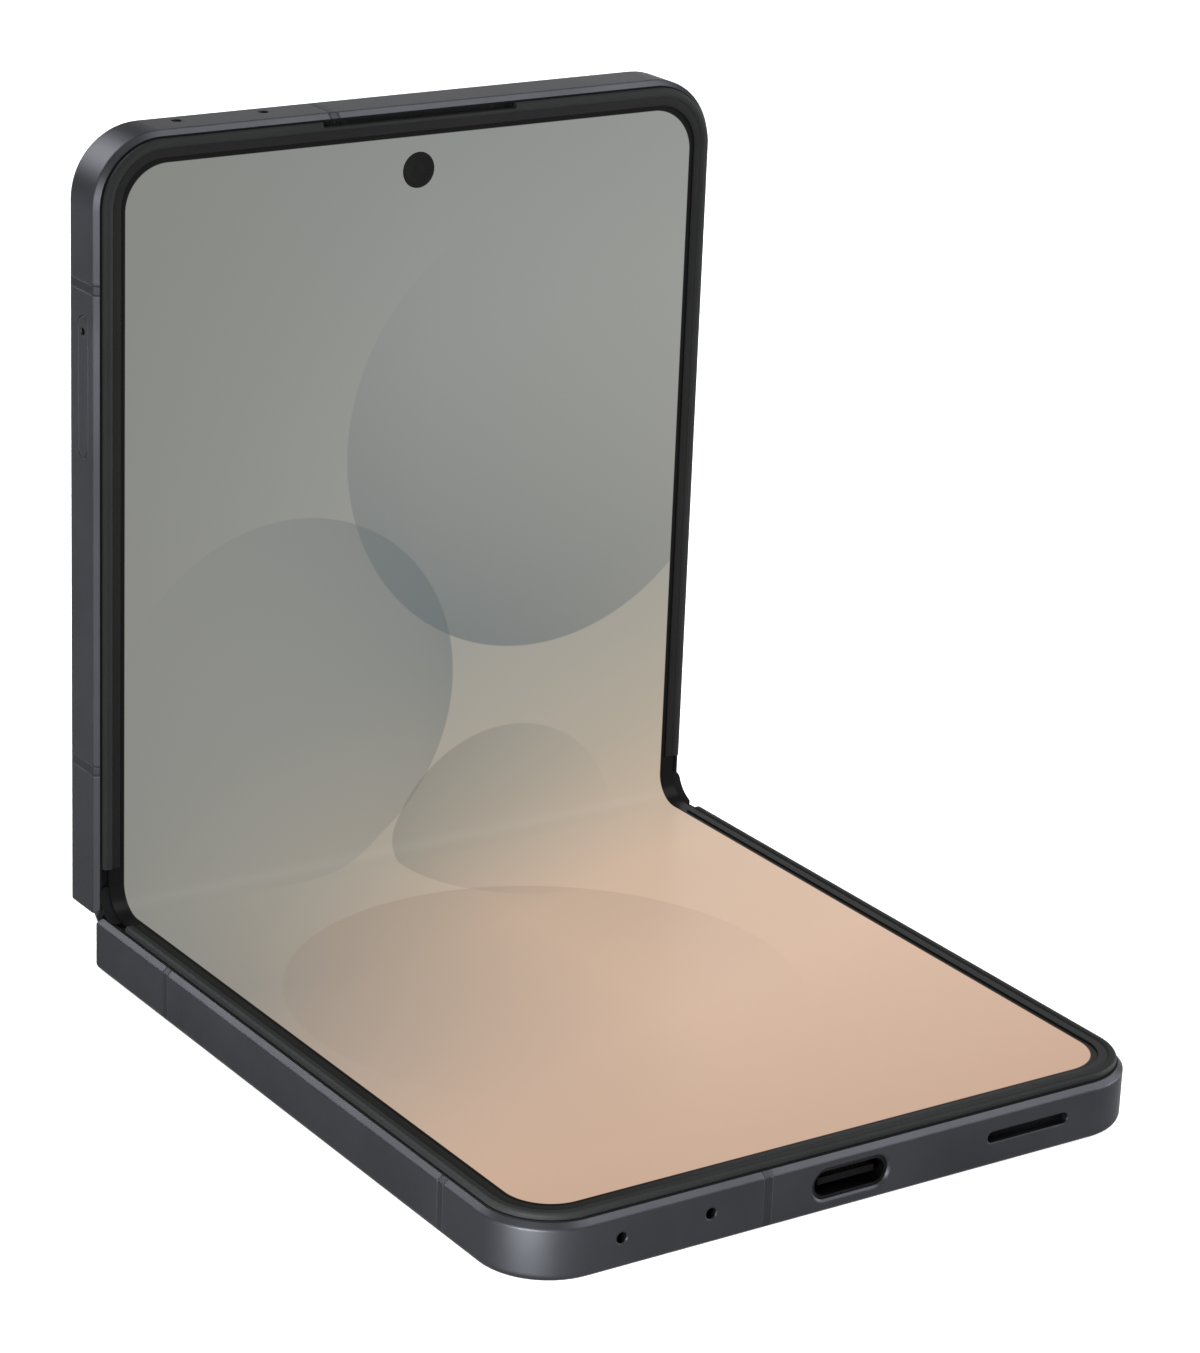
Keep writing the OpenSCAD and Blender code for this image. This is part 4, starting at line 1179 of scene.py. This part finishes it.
@dataclass
class Assembly:
    """What every sub-assembly shares: the book of finishes and the calls that place a piece."""

    finishes: FinishBook

    def dress(self, finish: Finish, *nodes: str) -> None:
        """Gives CAD nodes a finish.

        Args:
            finish: The finish.
            *nodes: The nodes' names.
        """
        material = self.finishes.use(finish)
        for name in nodes:
            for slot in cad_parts[name].material_slots:
                slot.material = material
            log.info("%s dressed in %s", name, material.name)

    def seat(self, piece: bpy.types.Object, body: str, slot: str, *replaced: str) -> None:
        """Lets a piece ride on a body and hides the nodes that it stands for.

        Args:
            piece: The piece, in place.
            body: The body's name.
            slot: Not used.
            *replaced: The CAD nodes that the piece stands for.
        """
        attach(piece, body)
        if replaced:
            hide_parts(*replaced)
        log.info("%s rides on %s", piece.name, body)


@dataclass
class FoldingScreen(Assembly):
    """The flexible screen's flat parts, and what bends over the hinge: screen, ribbon cable and side seals."""

    half_width: float = 36.2
    depths: tuple[float, float] = (0.0, 0.4)
    flat: float = 3.6077
    columns: int = 12
    flat_rows: int = 4
    arc_rows: int = 14
    blend_margin: float = 0.6
    ribbon_half_width: float = 5.5
    ribbon_depths: tuple[float, float] = (0.95, 1.07)
    ribbon_flat: float = 9.0077
    seal_gap: float = 0.03
    seal_outer: float = 37.3
    seal_end: float = 36.75
    seal_edge: tuple[float, float] = (0.1, 0.08)
    seal_reach: float = 2.2
    seal_full: float = 1.3
    seal_rows: int = 8
    seal_depths: tuple[float, float] = (0.1, 0.34)

    def build(self) -> None:
        """Dresses the flat parts, and makes each bending piece in two parts that meet at the middle."""
        self.dress(ScreenPicture("screen_lower", PictureSource.LOWER), "lower_screen")
        self.dress(ScreenPicture("screen_upper", PictureSource.UPPER), "upper_screen")
        picture = self.finishes.use(ScreenPicture("screen_fold", PictureSource.FOLD))
        cable = self.finishes.use(POLYIMIDE)
        for half in Half:
            name = f"fold_screen_{half.prefix}"
            screen = self._band(name, self._rows(half, self.flat), self.half_width, self.depths, picture)
            self._bend(screen, half, "screen", "fold_screen")
        for half in Half:
            name, rows = f"hinge_ribbon_{half.prefix}", self._rows(half, self.ribbon_flat)
            ribbon = self._band(name, rows, self.ribbon_half_width, self.ribbon_depths, cable)
            self._bend(ribbon, half, "polyimide", "hinge_ribbon")
        for half in Half:
            self._bend(self._side_seal(half), half, "bezel_plastic")

    def _bend(self, piece: bpy.types.Object, half: Half, slot: str, *replaced: str) -> None:
        """Bakes a part of the bend into place, and hides the nodes that the lower part stands for.

        Args:
            piece: The part.
            half: The half that it belongs to.
            slot: Not used.
            *replaced: The CAD nodes that the lower part stands for.
        """
        if half is Half.LOWER:
            if replaced:
                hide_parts(*replaced)
            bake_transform(piece)
        else:
            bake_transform(piece)
        log.info("%s bends over the hinge", piece.name)

    def _rows(self, half: Half, flat: float) -> list[float]:
        """Where a part's cross rows lie along the unrolled screen.

        Args:
            half: The half that the part belongs to.
            flat: How far the part runs on flat past the bend.

        Returns:
            The rows, from the lower half towards the upper.
        """
        outer = -(BEND_HALF_ARC + flat)
        rows = [outer + flat * step / self.flat_rows for step in range(self.flat_rows)]
        rows += [-BEND_HALF_ARC + BEND_HALF_ARC * step / self.arc_rows for step in range(self.arc_rows + 1)]
        return rows if half is Half.LOWER else [-value for value in reversed(rows)]

    def _section(self, v: float) -> tuple[Vector, Vector]:
        """The screen's face and outward direction at a length along it.

        Args:
            v: Along the unrolled screen from its middle, towards the top.

        Returns:
            The point and the unit normal, in metres.
        """
        if abs(v) <= BEND_HALF_ARC:
            turn = v / BEND_RADIUS + math.pi / 4
        else:
            turn = 0.0 if v < 0 else math.pi / 2
        past = max(0.0, abs(v) - BEND_HALF_ARC)
        y = BEND_Y + BEND_RADIUS * math.sin(turn) - (past if v < 0 else 0.0)
        z = BEND_Z - BEND_RADIUS * math.cos(turn) + (past if v > 0 else 0.0)
        return Vector((0, y, z)) * MM, Vector((0, -math.sin(turn), math.cos(turn)))

    def _side_seal(self, half: Half) -> bpy.types.Object:
        """The soft black strips beside one part of the bend, which close the gap between the rails.

        Args:
            half: The half that the part belongs to.

        Returns:
            The piece.
        """
        inner = self.half_width + self.seal_gap
        near, far = self.seal_depths
        edge_in, edge_down = self.seal_edge
        shapes = []
        for side in (-1, 1):
            rings = []
            for row in range(self.seal_rows + 1):
                v = self.seal_reach * row / self.seal_rows
                share = max(0.0, (v - self.seal_full) / (self.seal_reach - self.seal_full))
                outer = self.seal_outer - (self.seal_outer - self.seal_end) * share**2
                face, normal = self._section(half.sign * v)
                corners = (
                    (inner, near),
                    (outer - edge_in, near),
                    (outer, near + edge_down),
                    (outer, far),
                    (inner, far),
                )
                rings.append([face - normal * depth * MM + Vector((side * x * MM, 0, 0)) for x, depth in corners])
            shapes.append(rings)
        name = f"fold_seal_{half.prefix}"
        return finish_mesh(loft(name, *shapes), name, [self.finishes.use(SEAL)])

    def _band(
        self,
        name: str,
        rows: Sequence[float],
        half_width: float,
        depths: Sequence[float],
        material: bpy.types.Material,
    ) -> bpy.types.Object:
        """One part of a bending band, with its place in the picture kept at each point.

        Args:
            name: The piece's name.
            rows: Lengths along the screen, in order.
            half_width: Half the band's width.
            depths: How far its two faces lie behind the screen's face.
            material: Its material.

        Returns:
            The piece.
        """
        across = [half_width * (2 * column / self.columns - 1) for column in range(self.columns + 1)]
        section = [(x, depths[0]) for x in across] + [(x, depths[1]) for x in reversed(across)]
        rings, places = [], []
        for v in rows:
            face, normal = self._section(v)
            rings.append([face - normal * depth * MM + Vector((x * MM, 0, 0)) for x, depth in section])
            places += [(x, v, 0.0) for x, _ in section]
        mesh = loft(name, rings)
        attribute = mesh.attributes.new(PictureSource.FOLD.value, "FLOAT_VECTOR", "POINT")
        attribute.data.foreach_set("vector", [number for place in places for number in place])
        return finish_mesh(mesh, name, [material])


@dataclass(frozen=True)
class Strip:
    """A strip's section: insets of its sides, heights of its faces above the back, and rounding."""

    near: float
    far: float
    low: float
    high: float
    rounding: float

    @property
    def inset(self) -> float:
        """The middle line's inset from the half's outside."""
        return (self.near + self.far) / 2


@dataclass
class BezelStrips(Assembly):
    """The soft raised lip round each half's screen, with its seal, black film and low tails by the hinge."""

    half_width: float = 37.6
    half_length: float = 84.05
    corner: float = 7.5
    corner_steps: int = 20
    start: float = 5.25
    fold_end: float = 0.6
    tail_overlap: float = 0.4
    lip: Strip = Strip(0.7, 1.76, 5.85, 6.8, 0.4)
    seal: Strip = Strip(0.55, 0.76, 5.85, 6.12, 0.04)
    film: Strip = Strip(1.6, 2.6, 6.5, 6.66, 0.05)
    tail: Strip = Strip(0.74, 1.36, 5.8, 6.0, 0.05)
    slot_half_length: float = 11.75
    slot_inset: float = 1.25
    slot_heights: tuple[float, float] = (6.0, 7.5)
    slot_round: float = 0.25
    slot_steps: int = 6

    def build(self) -> None:
        """Makes the strips of both halves."""
        tree = strip_tree()
        rubber = self.finishes.use(LIP_RUBBER)
        film_black = self.finishes.use(BORDER_FILM)
        seal_black = self.finishes.use(SEAL)
        for half in Half:
            film = self._sweep(tree, half, self.film, self._around(self.film, self.start), film_black)
            self._place(film, half, "film", film_black)
            seals = [self._sweep(tree, half, self.seal, self._around(self.seal, self.fold_end), seal_black)]
            # The low tails take the near-black seal finish, painted shade for the dark recess between the lip's end
            # and the hinge.
            seals += [self._sweep(tree, half, self.tail, self._tail(side), seal_black) for side in (-1, 1)]
            self._place(join("seal", seals), half, "seal", seal_black)
            lip = self._sweep(tree, half, self.lip, self._around(self.lip, self.start), rubber)
            if half is Half.UPPER:
                lip = self._slotted(lip)
            self._place(lip, half, "lip", rubber, f"{half.prefix}_bezel")

    def _place(
        self, mesh: bpy.types.Mesh, half: Half, part: str, material: bpy.types.Material, *replaced: str
    ) -> None:
        """Seats a strip on its half.

        Args:
            mesh: The strip's mesh.
            half: The half.
            part: What the strip is, for its name.
            material: Its material.
            *replaced: The CAD nodes that it stands for.
        """
        piece = finish_mesh(mesh, f"{half.prefix}_bezel_{part}", [material])
        self.seat(piece, half.value, "bezel_plastic", *replaced)

    def _around(self, strip: Strip, start: float) -> list[tuple[float, float]]:
        """The middle line of a strip round a half, as x and the distance from the fold end.

        Args:
            strip: The strip's section.
            start: Where the strip starts and ends, from the fold end.

        Returns:
            The line's points.
        """
        radius = self.corner - strip.inset
        side, end = self.half_width - strip.inset, self.half_length - strip.inset
        points = [(-side, start)]
        for sign in (-1, 1):
            for step in range(self.corner_steps + 1):
                share = step / self.corner_steps if sign < 0 else 1 - step / self.corner_steps
                turn = share * math.pi / 2
                x = sign * (side - radius + radius * math.cos(turn))
                points.append((x, end - radius + radius * math.sin(turn)))
        points.append((side, start))
        return points

    def _tail(self, side: int) -> list[tuple[float, float]]:
        """The middle line of the low tail on one side."""
        x = side * (self.half_width - self.tail.inset)
        return [(x, self.fold_end), (x, self.start + self.tail_overlap)]

    def _slotted(self, lip: bpy.types.Mesh) -> bpy.types.Mesh:
        """The upper lip with the earpiece's slot cut out of its outer side.

        Args:
            lip: The whole lip.

        Returns:
            The cut lip.
        """
        inner, outer = self.half_length - self.slot_inset, self.half_length - self.seal.near
        plan = [(self.slot_half_length, outer), (-self.slot_half_length, outer)]
        for sign in (-1, 1):
            for step in range(self.slot_steps + 1):
                share = step / self.slot_steps if sign < 0 else 1 - step / self.slot_steps
                turn = share * math.pi / 2
                reach = self.slot_half_length - self.slot_round * (1 - math.cos(turn))
                plan.append((sign * reach, inner + self.slot_round * (1 - math.sin(turn))))
        return cut_out(lip, loft("slot", [[Half.UPPER.point(x, s, w) for x, s in plan] for w in self.slot_heights]))

    def _sweep(
        self,
        tree: GeometryTree,
        half: Half,
        strip: Strip,
        line: Sequence[tuple[float, float]],
        material: bpy.types.Material,
    ) -> bpy.types.Mesh:
        """Sweeps one strip along its line and sets it on its half.

        Args:
            tree: The sweeping tree.
            half: The half.
            strip: The strip's section.
            line: Its middle line.
            material: Its material.

        Returns:
            The mesh, in place.
        """
        level = (strip.low + strip.high) / 2
        base = bpy.data.meshes.new("line")
        base.from_pydata([Vector((x, s, level)) for x, s in line], [(i, i + 1) for i in range(len(line) - 1)], [])
        width, height = strip.far - strip.near, strip.high - strip.low
        mesh = tree.grow(material, base, Width=width, Height=height, Rounding=strip.rounding)
        for vertex in mesh.vertices:
            vertex.co = half.point(*vertex.co)
        return mesh


@dataclass
class HingeGuards(Assembly):
    """The black guards that fill the gap between the halves at both ends of the hinge.

    A flank is half of a section, as pairs of half-width and rise towards the screen side.
    """

    middle_y: float = 41.95
    middle_z: float = 6.28
    inner: float = 35.3
    screen_edge: float = 36.26
    stem_overlap: float = 0.05
    outer: float = 37.15
    softness: float = 0.06
    stem: tuple[tuple[float, float], ...] = ((0.33, -1.0), (0.33, 0.9))
    head: tuple[tuple[float, float], ...] = (
        (0.33, -1.0),
        (0.33, 0.84),
        (0.5, 0.96),
        (0.5, 1.06),
        (0.36, 1.16),
    )

    def build(self) -> None:
        """Makes the guards of both ends as one piece."""
        shapes = []
        for side in (-1, 1):
            shapes.append(self._run(side, self.stem, self.inner, self.screen_edge + self.stem_overlap))
            shapes.append(self._run(side, self.head, self.screen_edge, self.outer))
        piece = finish_mesh(loft("guards", *shapes), "hinge_end_guards", [self.finishes.use(SEAL)])
        bevel = piece.modifiers.new("soft", "BEVEL")
        bevel.width = self.softness * MM
        bevel.segments = 2
        self.seat(piece, "hinge_spine", "black_plastic")

    def _run(
        self, side: int, flank: Sequence[tuple[float, float]], start: float, end: float
    ) -> list[list[Vector]]:
        """A straight run along the hinge's axis.

        Args:
            side: -1 for the left end, 1 for the right.
            flank: Half of the section, from the back to the screen side.
            start: Where the run starts, from the phone's middle.
            end: Where it ends.

        Returns:
            The run's two end rings.
        """
        section = list(flank) + [(-across, rise) for across, rise in reversed(flank)]
        slant = math.sqrt(0.5)
        rings = []
        for x in (start, end):
            points = []
            for across, rise in section:
                y, z = self.middle_y + (across - rise) * slant, self.middle_z + (across + rise) * slant
                points.append(Vector((side * x, y, z)) * MM)
            rings.append(points)
        return rings


@dataclass
class SoundOpenings(Assembly):
    """The wire cloth behind the loudspeaker's slot and the earpiece's slot."""

    wire: float = 0.035
    pitch: float = 0.17
    sharp_degrees: float = 60

    def build(self) -> None:
        """Makes both cloths."""
        tree = wire_cloth_tree()
        steel = self.finishes.use(CLOTH_STEEL)
        for name, node, body in (
            ("speaker_wire_cloth", "speaker_mesh", "lower_half"),
            ("earpiece_wire_cloth", "earpiece_mesh", "upper_half"),
        ):
            low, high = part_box(node)
            middle, size = (low + high) / 2, high - low
            rise = size.z / 2
            mesh = tree.grow(
                steel,
                Half_Straight=size.x / 2 - rise,
                Half_Height=rise,
                Pitch=self.pitch * MM,
                Wire_Radius=self.wire * MM,
            )
            mesh.transform(Matrix.Translation(middle))
            self.seat(finish_mesh(mesh, name, [steel], self.sharp_degrees), body, "steel", node)


@dataclass
class ChargingSocket(Assembly):
    """The socket in the lower half's free end, its tongue and the tongue's contacts."""

    height: float = 3.0
    blade_half_thickness: float = 0.35
    front_y: float = -41.075
    pads: int = 12
    pad_pitch: float = 0.5
    pad_width: float = 0.26
    pad_length: float = 3.6
    pad_thickness: float = 0.03
    pad_setback: float = 0.5

    def build(self) -> None:
        """Dresses the socket and makes the contacts."""
        # The socket's near-black steel is painted shade inside the port.
        self.dress(SHADED_SOCKET_STEEL, "usb_socket")
        self.dress(SEAL, "usb_tongue")
        gold = self.finishes.use(GOLD_PAD)
        mesh = contact_tree().grow(
            gold,
            Count=self.pads,
            Pitch=self.pad_pitch * MM,
            Pad_Width=self.pad_width * MM,
            Pad_Length=self.pad_length * MM,
            Pad_Thickness=self.pad_thickness * MM,
            Lift=self.blade_half_thickness * MM,
        )
        middle_y = self.front_y + self.pad_setback + self.pad_length / 2
        mesh.transform(Matrix.Translation(Vector((0, middle_y, self.height)) * MM))
        self.seat(finish_mesh(mesh, "socket_contacts", [gold]), "lower_half", "copper")


@dataclass
class FrontCamera(Assembly):
    """The camera in the upper screen: a flush black window with a small lens behind it."""

    x: float = 0.0
    s: float = 77.25
    face: float = 6.47
    window: float = 1.93
    body: float = 2.6
    lens: float = 0.62
    lens_bands: int = 4
    sharp_degrees: float = 30

    def build(self) -> None:
        """Makes the camera's eye."""
        mesh = lathe("front_camera_eye", Half.UPPER, (self.x, self.s), self._profile(), self.lens_bands)
        window = self.finishes.use(CAMERA_WINDOW)
        lens = self.finishes.use(CoatedLens("front_lens", (self.x,), UPPER_FOLD_Z + self.s, self.lens))
        piece = finish_mesh(mesh, "front_camera_eye", [window, lens], self.sharp_degrees)
        self.seat(piece, "upper_half", "black_plastic", "front_camera")

    def _profile(self) -> list[tuple[float, float]]:
        """The eye's outline, from its back to the middle of its lens.

        Returns:
            Pairs of radius and height above the half's back.
        """
        return [
            (0.0, 3.4),
            (self.body, 3.4),
            (self.body, 5.0),
            (1.85, 5.0),
            (self.window, 5.2),
            (self.window, self.face - 0.04),
            (self.window - 0.04, self.face),
            (1.3, self.face),
            (1.25, self.face - 0.008),
            (self.lens + 0.25, self.face - 0.012),
            (self.lens, self.face - 0.02),
            (self.lens * 0.8, self.face - 0.012),
            (self.lens * 0.5, self.face - 0.006),
            (0.0, self.face - 0.004),
        ]


@dataclass
class RearCameras(Assembly):
    """The two cameras on the cover side, each with a stepped barrel, a domed lens and a flat glass."""

    places: tuple[float, float] = (26.0, 12.4)
    s: float = 73.05
    glass: float = 4.86
    barrel: float = 3.2
    lens: float = 1.7
    lens_bands: int = 5
    sharp_degrees: float = 30

    def build(self) -> None:
        """Makes the barrels and dresses the rings, the glass and the flash."""
        self.dress(RING_METAL, "camera_rings")
        self.dress(FLASH, "flash_lens")
        black = self.finishes.use(BARREL_BLACK)
        lens = self.finishes.use(CoatedLens("rear_lens", self.places, UPPER_FOLD_Z + self.s, self.lens))
        window = self.finishes.use(LENS_WINDOW)
        barrels, windows = [], []
        for x in self.places:
            barrels.append(lathe("barrel", Half.UPPER, (x, self.s), self._barrel_profile(), self.lens_bands))
            windows.append(lathe("window", Half.UPPER, (x, self.s), self._window_profile()))
        barrel = finish_mesh(join("barrels", barrels), "rear_camera_barrels", [black, lens], self.sharp_degrees)
        self.seat(barrel, "upper_half", "black_plastic", "camera_modules")
        glass = finish_mesh(join("windows", windows), "rear_camera_windows", [window], self.sharp_degrees)
        self.seat(glass, "upper_half", "lens_glass", "camera_lenses")

    def _barrel_profile(self) -> list[tuple[float, float]]:
        """A barrel's outline, from its foot inside the half to the middle of its lens.

        Returns:
            Pairs of radius and height above the half's back.
        """
        return [
            (0.0, 4.8),
            (4.2, 4.8),
            (4.2, 0.2),
            (4.2, -0.56),
            (self.barrel, -0.56),
            (self.barrel - 0.1, -0.2),
            (2.75, -0.2),
            (2.7, 0.0),
            (2.4, 0.0),
            (2.35, 0.25),
            (2.05, 0.25),
            (2.0, 0.45),
            (1.75, 0.45),
            (self.lens, 0.6),
            (1.45, 0.42),
            (1.1, 0.28),
            (0.7, 0.19),
            (0.35, 0.15),
            (0.0, 0.14),
        ]

    def _window_profile(self) -> list[tuple[float, float]]:
        """The closed outline of the black mask round a camera's opening.

        Returns:
            Pairs of radius and height above the half's back.
        """
        outer, inner = self.glass, self.barrel + 0.05
        return [
            (inner, -0.62),
            (inner + 0.3, -0.62),
            (outer, -0.62),
            (outer, -1.06),
            (outer - 0.05, -1.1),
            (inner + 0.3, -1.1),
            (inner + 0.05, -1.1),
            (inner, -1.06),
            (inner, -0.8),
            (inner, -0.62),
        ]


@dataclass
class Shell(Assembly):
    """Frames, back panels, keys, tray, hinge cover and everything inside."""

    def build(self) -> None:
        """Dresses the carried-over nodes."""
        self.dress(FRAME_METAL, "lower_frame", "upper_frame", "sim_tray")
        self.dress(KEY_METAL, "side_key", "volume_key")
        self.dress(HINGE_METAL, "hinge_cover")
        self.dress(ANTENNA_PAINT, "lower_antenna_bands", "upper_antenna_bands")
        self.dress(FROSTED_BACK, "lower_back_glass")
        self.dress(GLOSSY_COVER, "cover_glass")
        self.dress(COVER_DISPLAY, "cover_screen")
        self.dress(BLACK_PLASTIC, "hinge_end_caps", "loudspeaker", "earpiece")
        for part in ("screen_plate", "wing_plate", "hinge_arms", "arm_screws"):
            self.dress(STEEL, f"lower_{part}", f"upper_{part}")
        self.dress(STEEL, "hinge_brackets", "hinge_shafts", "hinge_disc_springs", "board_shield")
        self.dress(STEEL, "card_reader", "key_switches", "vibration_motor", "sub_board_screws", "main_board_screws")
        self.dress(BRASS, "lower_idler_gears", "upper_idler_gears")
        self.dress(NICKEL, "lower_magnets", "upper_magnets")
        self.dress(CLOTH_STEEL, "bottom_microphones", "top_microphones")
        self.dress(BOARD, "sub_board", "main_board")
        self.dress(BATTERY_FOIL, "lower_battery", "upper_battery")
        self.dress(COPPER, "charging_coil")
        self.dress(FERRITE, "coil_shield")


# ---- Studio ----


@dataclass(frozen=True)
class LightPanel:
    """A soft light in a direction from what it is aimed at: sizes in metres, power in watts."""

    name: str
    direction: tuple[float, float, float]
    distance: float
    width: float
    height: float
    power: float
    aim: tuple[float, float, float] = PHONE_MIDDLE


@dataclass
class Studio:
    """The camera, the floor and the soft lights."""

    azimuth: float = -34.31
    elevation: float = 19.88
    roll: float = 2.39
    distance: float = 445.2
    focal_pixels: float = 4298.0
    picture_height: float = 1353.0
    sensor: float = 36.0
    clip_start_metres: float = 0.01
    sky: Colour = (0.46, 0.46, 0.47)
    floor_tones: tuple[float, float] = (0.44, 0.46)
    floor_glow: float = 0.7
    floor_reach_metres: float = 4.0
    floor_gap: float = 0.02
    panels: tuple[LightPanel, ...] = (
        LightPanel("overhead", (0.53, -0.34, 0.78), 1.8, 1.0, 1.0, 36.0),
        LightPanel("back_left", (-0.34, 0.78, 0.53), 0.7, 0.35, 0.35, 6.4),
        LightPanel("back_right", (0.6, 0.72, 0.36), 0.8, 0.5, 0.35, 1.0),
        LightPanel("overhead_left", (-0.36, -0.12, 0.93), 1.8, 1.0, 1.0, 11.0),
        LightPanel("front_left", (-0.83, -0.55, 0.1), 0.5, 0.25, 0.1, 3.8),
        LightPanel("front_right", (0.92, -0.32, 0.12), 0.5, 0.25, 0.1, 3.4),
        LightPanel("corner_card", (-0.78, -0.53, 0.06), 0.03, 0.024, 0.008, 0.05, (-35.4, -39.8, 3.0)),
    )

    def build(self) -> None:
        """Makes everything round the phone."""
        self._camera()
        self._floor()
        for panel in self.panels:
            self._light(panel)
        world = bpy.data.worlds.new("studio")
        world.use_nodes = True
        world.node_tree.nodes["Background"].inputs[0].default_value = (*self.sky, 1.0)
        bpy.context.scene.world = world
        bpy.context.scene.view_settings.view_transform = "Standard"
        log.info("studio with %d panels", len(self.panels))

    def _camera(self) -> None:
        """Sets the camera where the photograph was taken from."""
        az, el, roll = (math.radians(a) for a in (self.azimuth, self.elevation, self.roll))
        back = Vector((math.sin(az) * math.cos(el), -math.cos(az) * math.cos(el), math.sin(el)))
        forward = -back
        right = forward.cross(Vector((0, 0, 1))).normalized()
        up = right.cross(forward)
        right_rolled = right * math.cos(roll) + up * math.sin(roll)
        up_rolled = up * math.cos(roll) - right * math.sin(roll)
        turn = Matrix((right_rolled, up_rolled, back)).transposed().to_4x4()
        lens = bpy.data.cameras.new("photo_camera")
        lens.sensor_fit = "AUTO"
        lens.sensor_width = self.sensor
        lens.lens = self.focal_pixels / self.picture_height * self.sensor
        lens.clip_start = self.clip_start_metres
        camera = bpy.data.objects.new("photo_camera", lens)
        bpy.context.scene.collection.objects.link(camera)
        camera.matrix_world = Matrix.Translation((Vector(PHONE_MIDDLE) + back * self.distance) * MM) @ turn
        bpy.context.scene.camera = camera

    def _floor(self) -> None:
        """Lays a plain pale floor."""
        shader = Shader("floor")
        cloud = shader.ranged(shader.noise(3.0), 0.3, 0.7)
        dark, pale = self.floor_tones
        material = shader.close(
            Base_Color=shader.mix(cloud, (dark, dark, dark), (pale, pale, pale)),
            Roughness=0.9,
            Specular_IOR_Level=0.1,
            Emission_Color=(1.0, 1.0, 1.0),
            Emission_Strength=self.floor_glow,
        )
        reach = self.floor_reach_metres
        level = cad_box[0][2] - self.floor_gap * MM
        mesh = bpy.data.meshes.new("floor")
        corners = [(x, y, level) for x, y in ((-reach, -reach), (reach, -reach), (reach, reach), (-reach, reach))]
        mesh.from_pydata(corners, [], [(0, 1, 2, 3)])
        mesh.materials.append(material)
        floor = bpy.data.objects.new("floor", mesh)
        bpy.context.scene.collection.objects.link(floor)

    def _light(self, panel: LightPanel) -> None:
        """Hangs one soft panel.

        Args:
            panel: The panel.
        """
        light = bpy.data.lights.new(panel.name, "AREA")
        light.shape = "RECTANGLE"
        light.size, light.size_y = panel.width, panel.height
        light.energy = panel.power
        lamp = bpy.data.objects.new(panel.name, light)
        bpy.context.scene.collection.objects.link(lamp)
        direction = Vector(panel.direction).normalized()
        lamp.location = Vector(panel.aim) * MM + direction * panel.distance
        lamp.rotation_euler = direction.to_track_quat("Z", "Y").to_euler()
        lamp.visible_camera = False


def main() -> None:
    """Builds the studio and every sub-assembly."""
    logging.basicConfig(level=logging.INFO, format="%(name)s: %(message)s")
    finishes = FinishBook()
    Studio().build()
    for assembly in (
        Shell,
        FoldingScreen,
        BezelStrips,
        HingeGuards,
        SoundOpenings,
        ChargingSocket,
        FrontCamera,
        RearCameras,
    ):
        assembly(finishes).build()


if __name__ == "__main__":
    main()
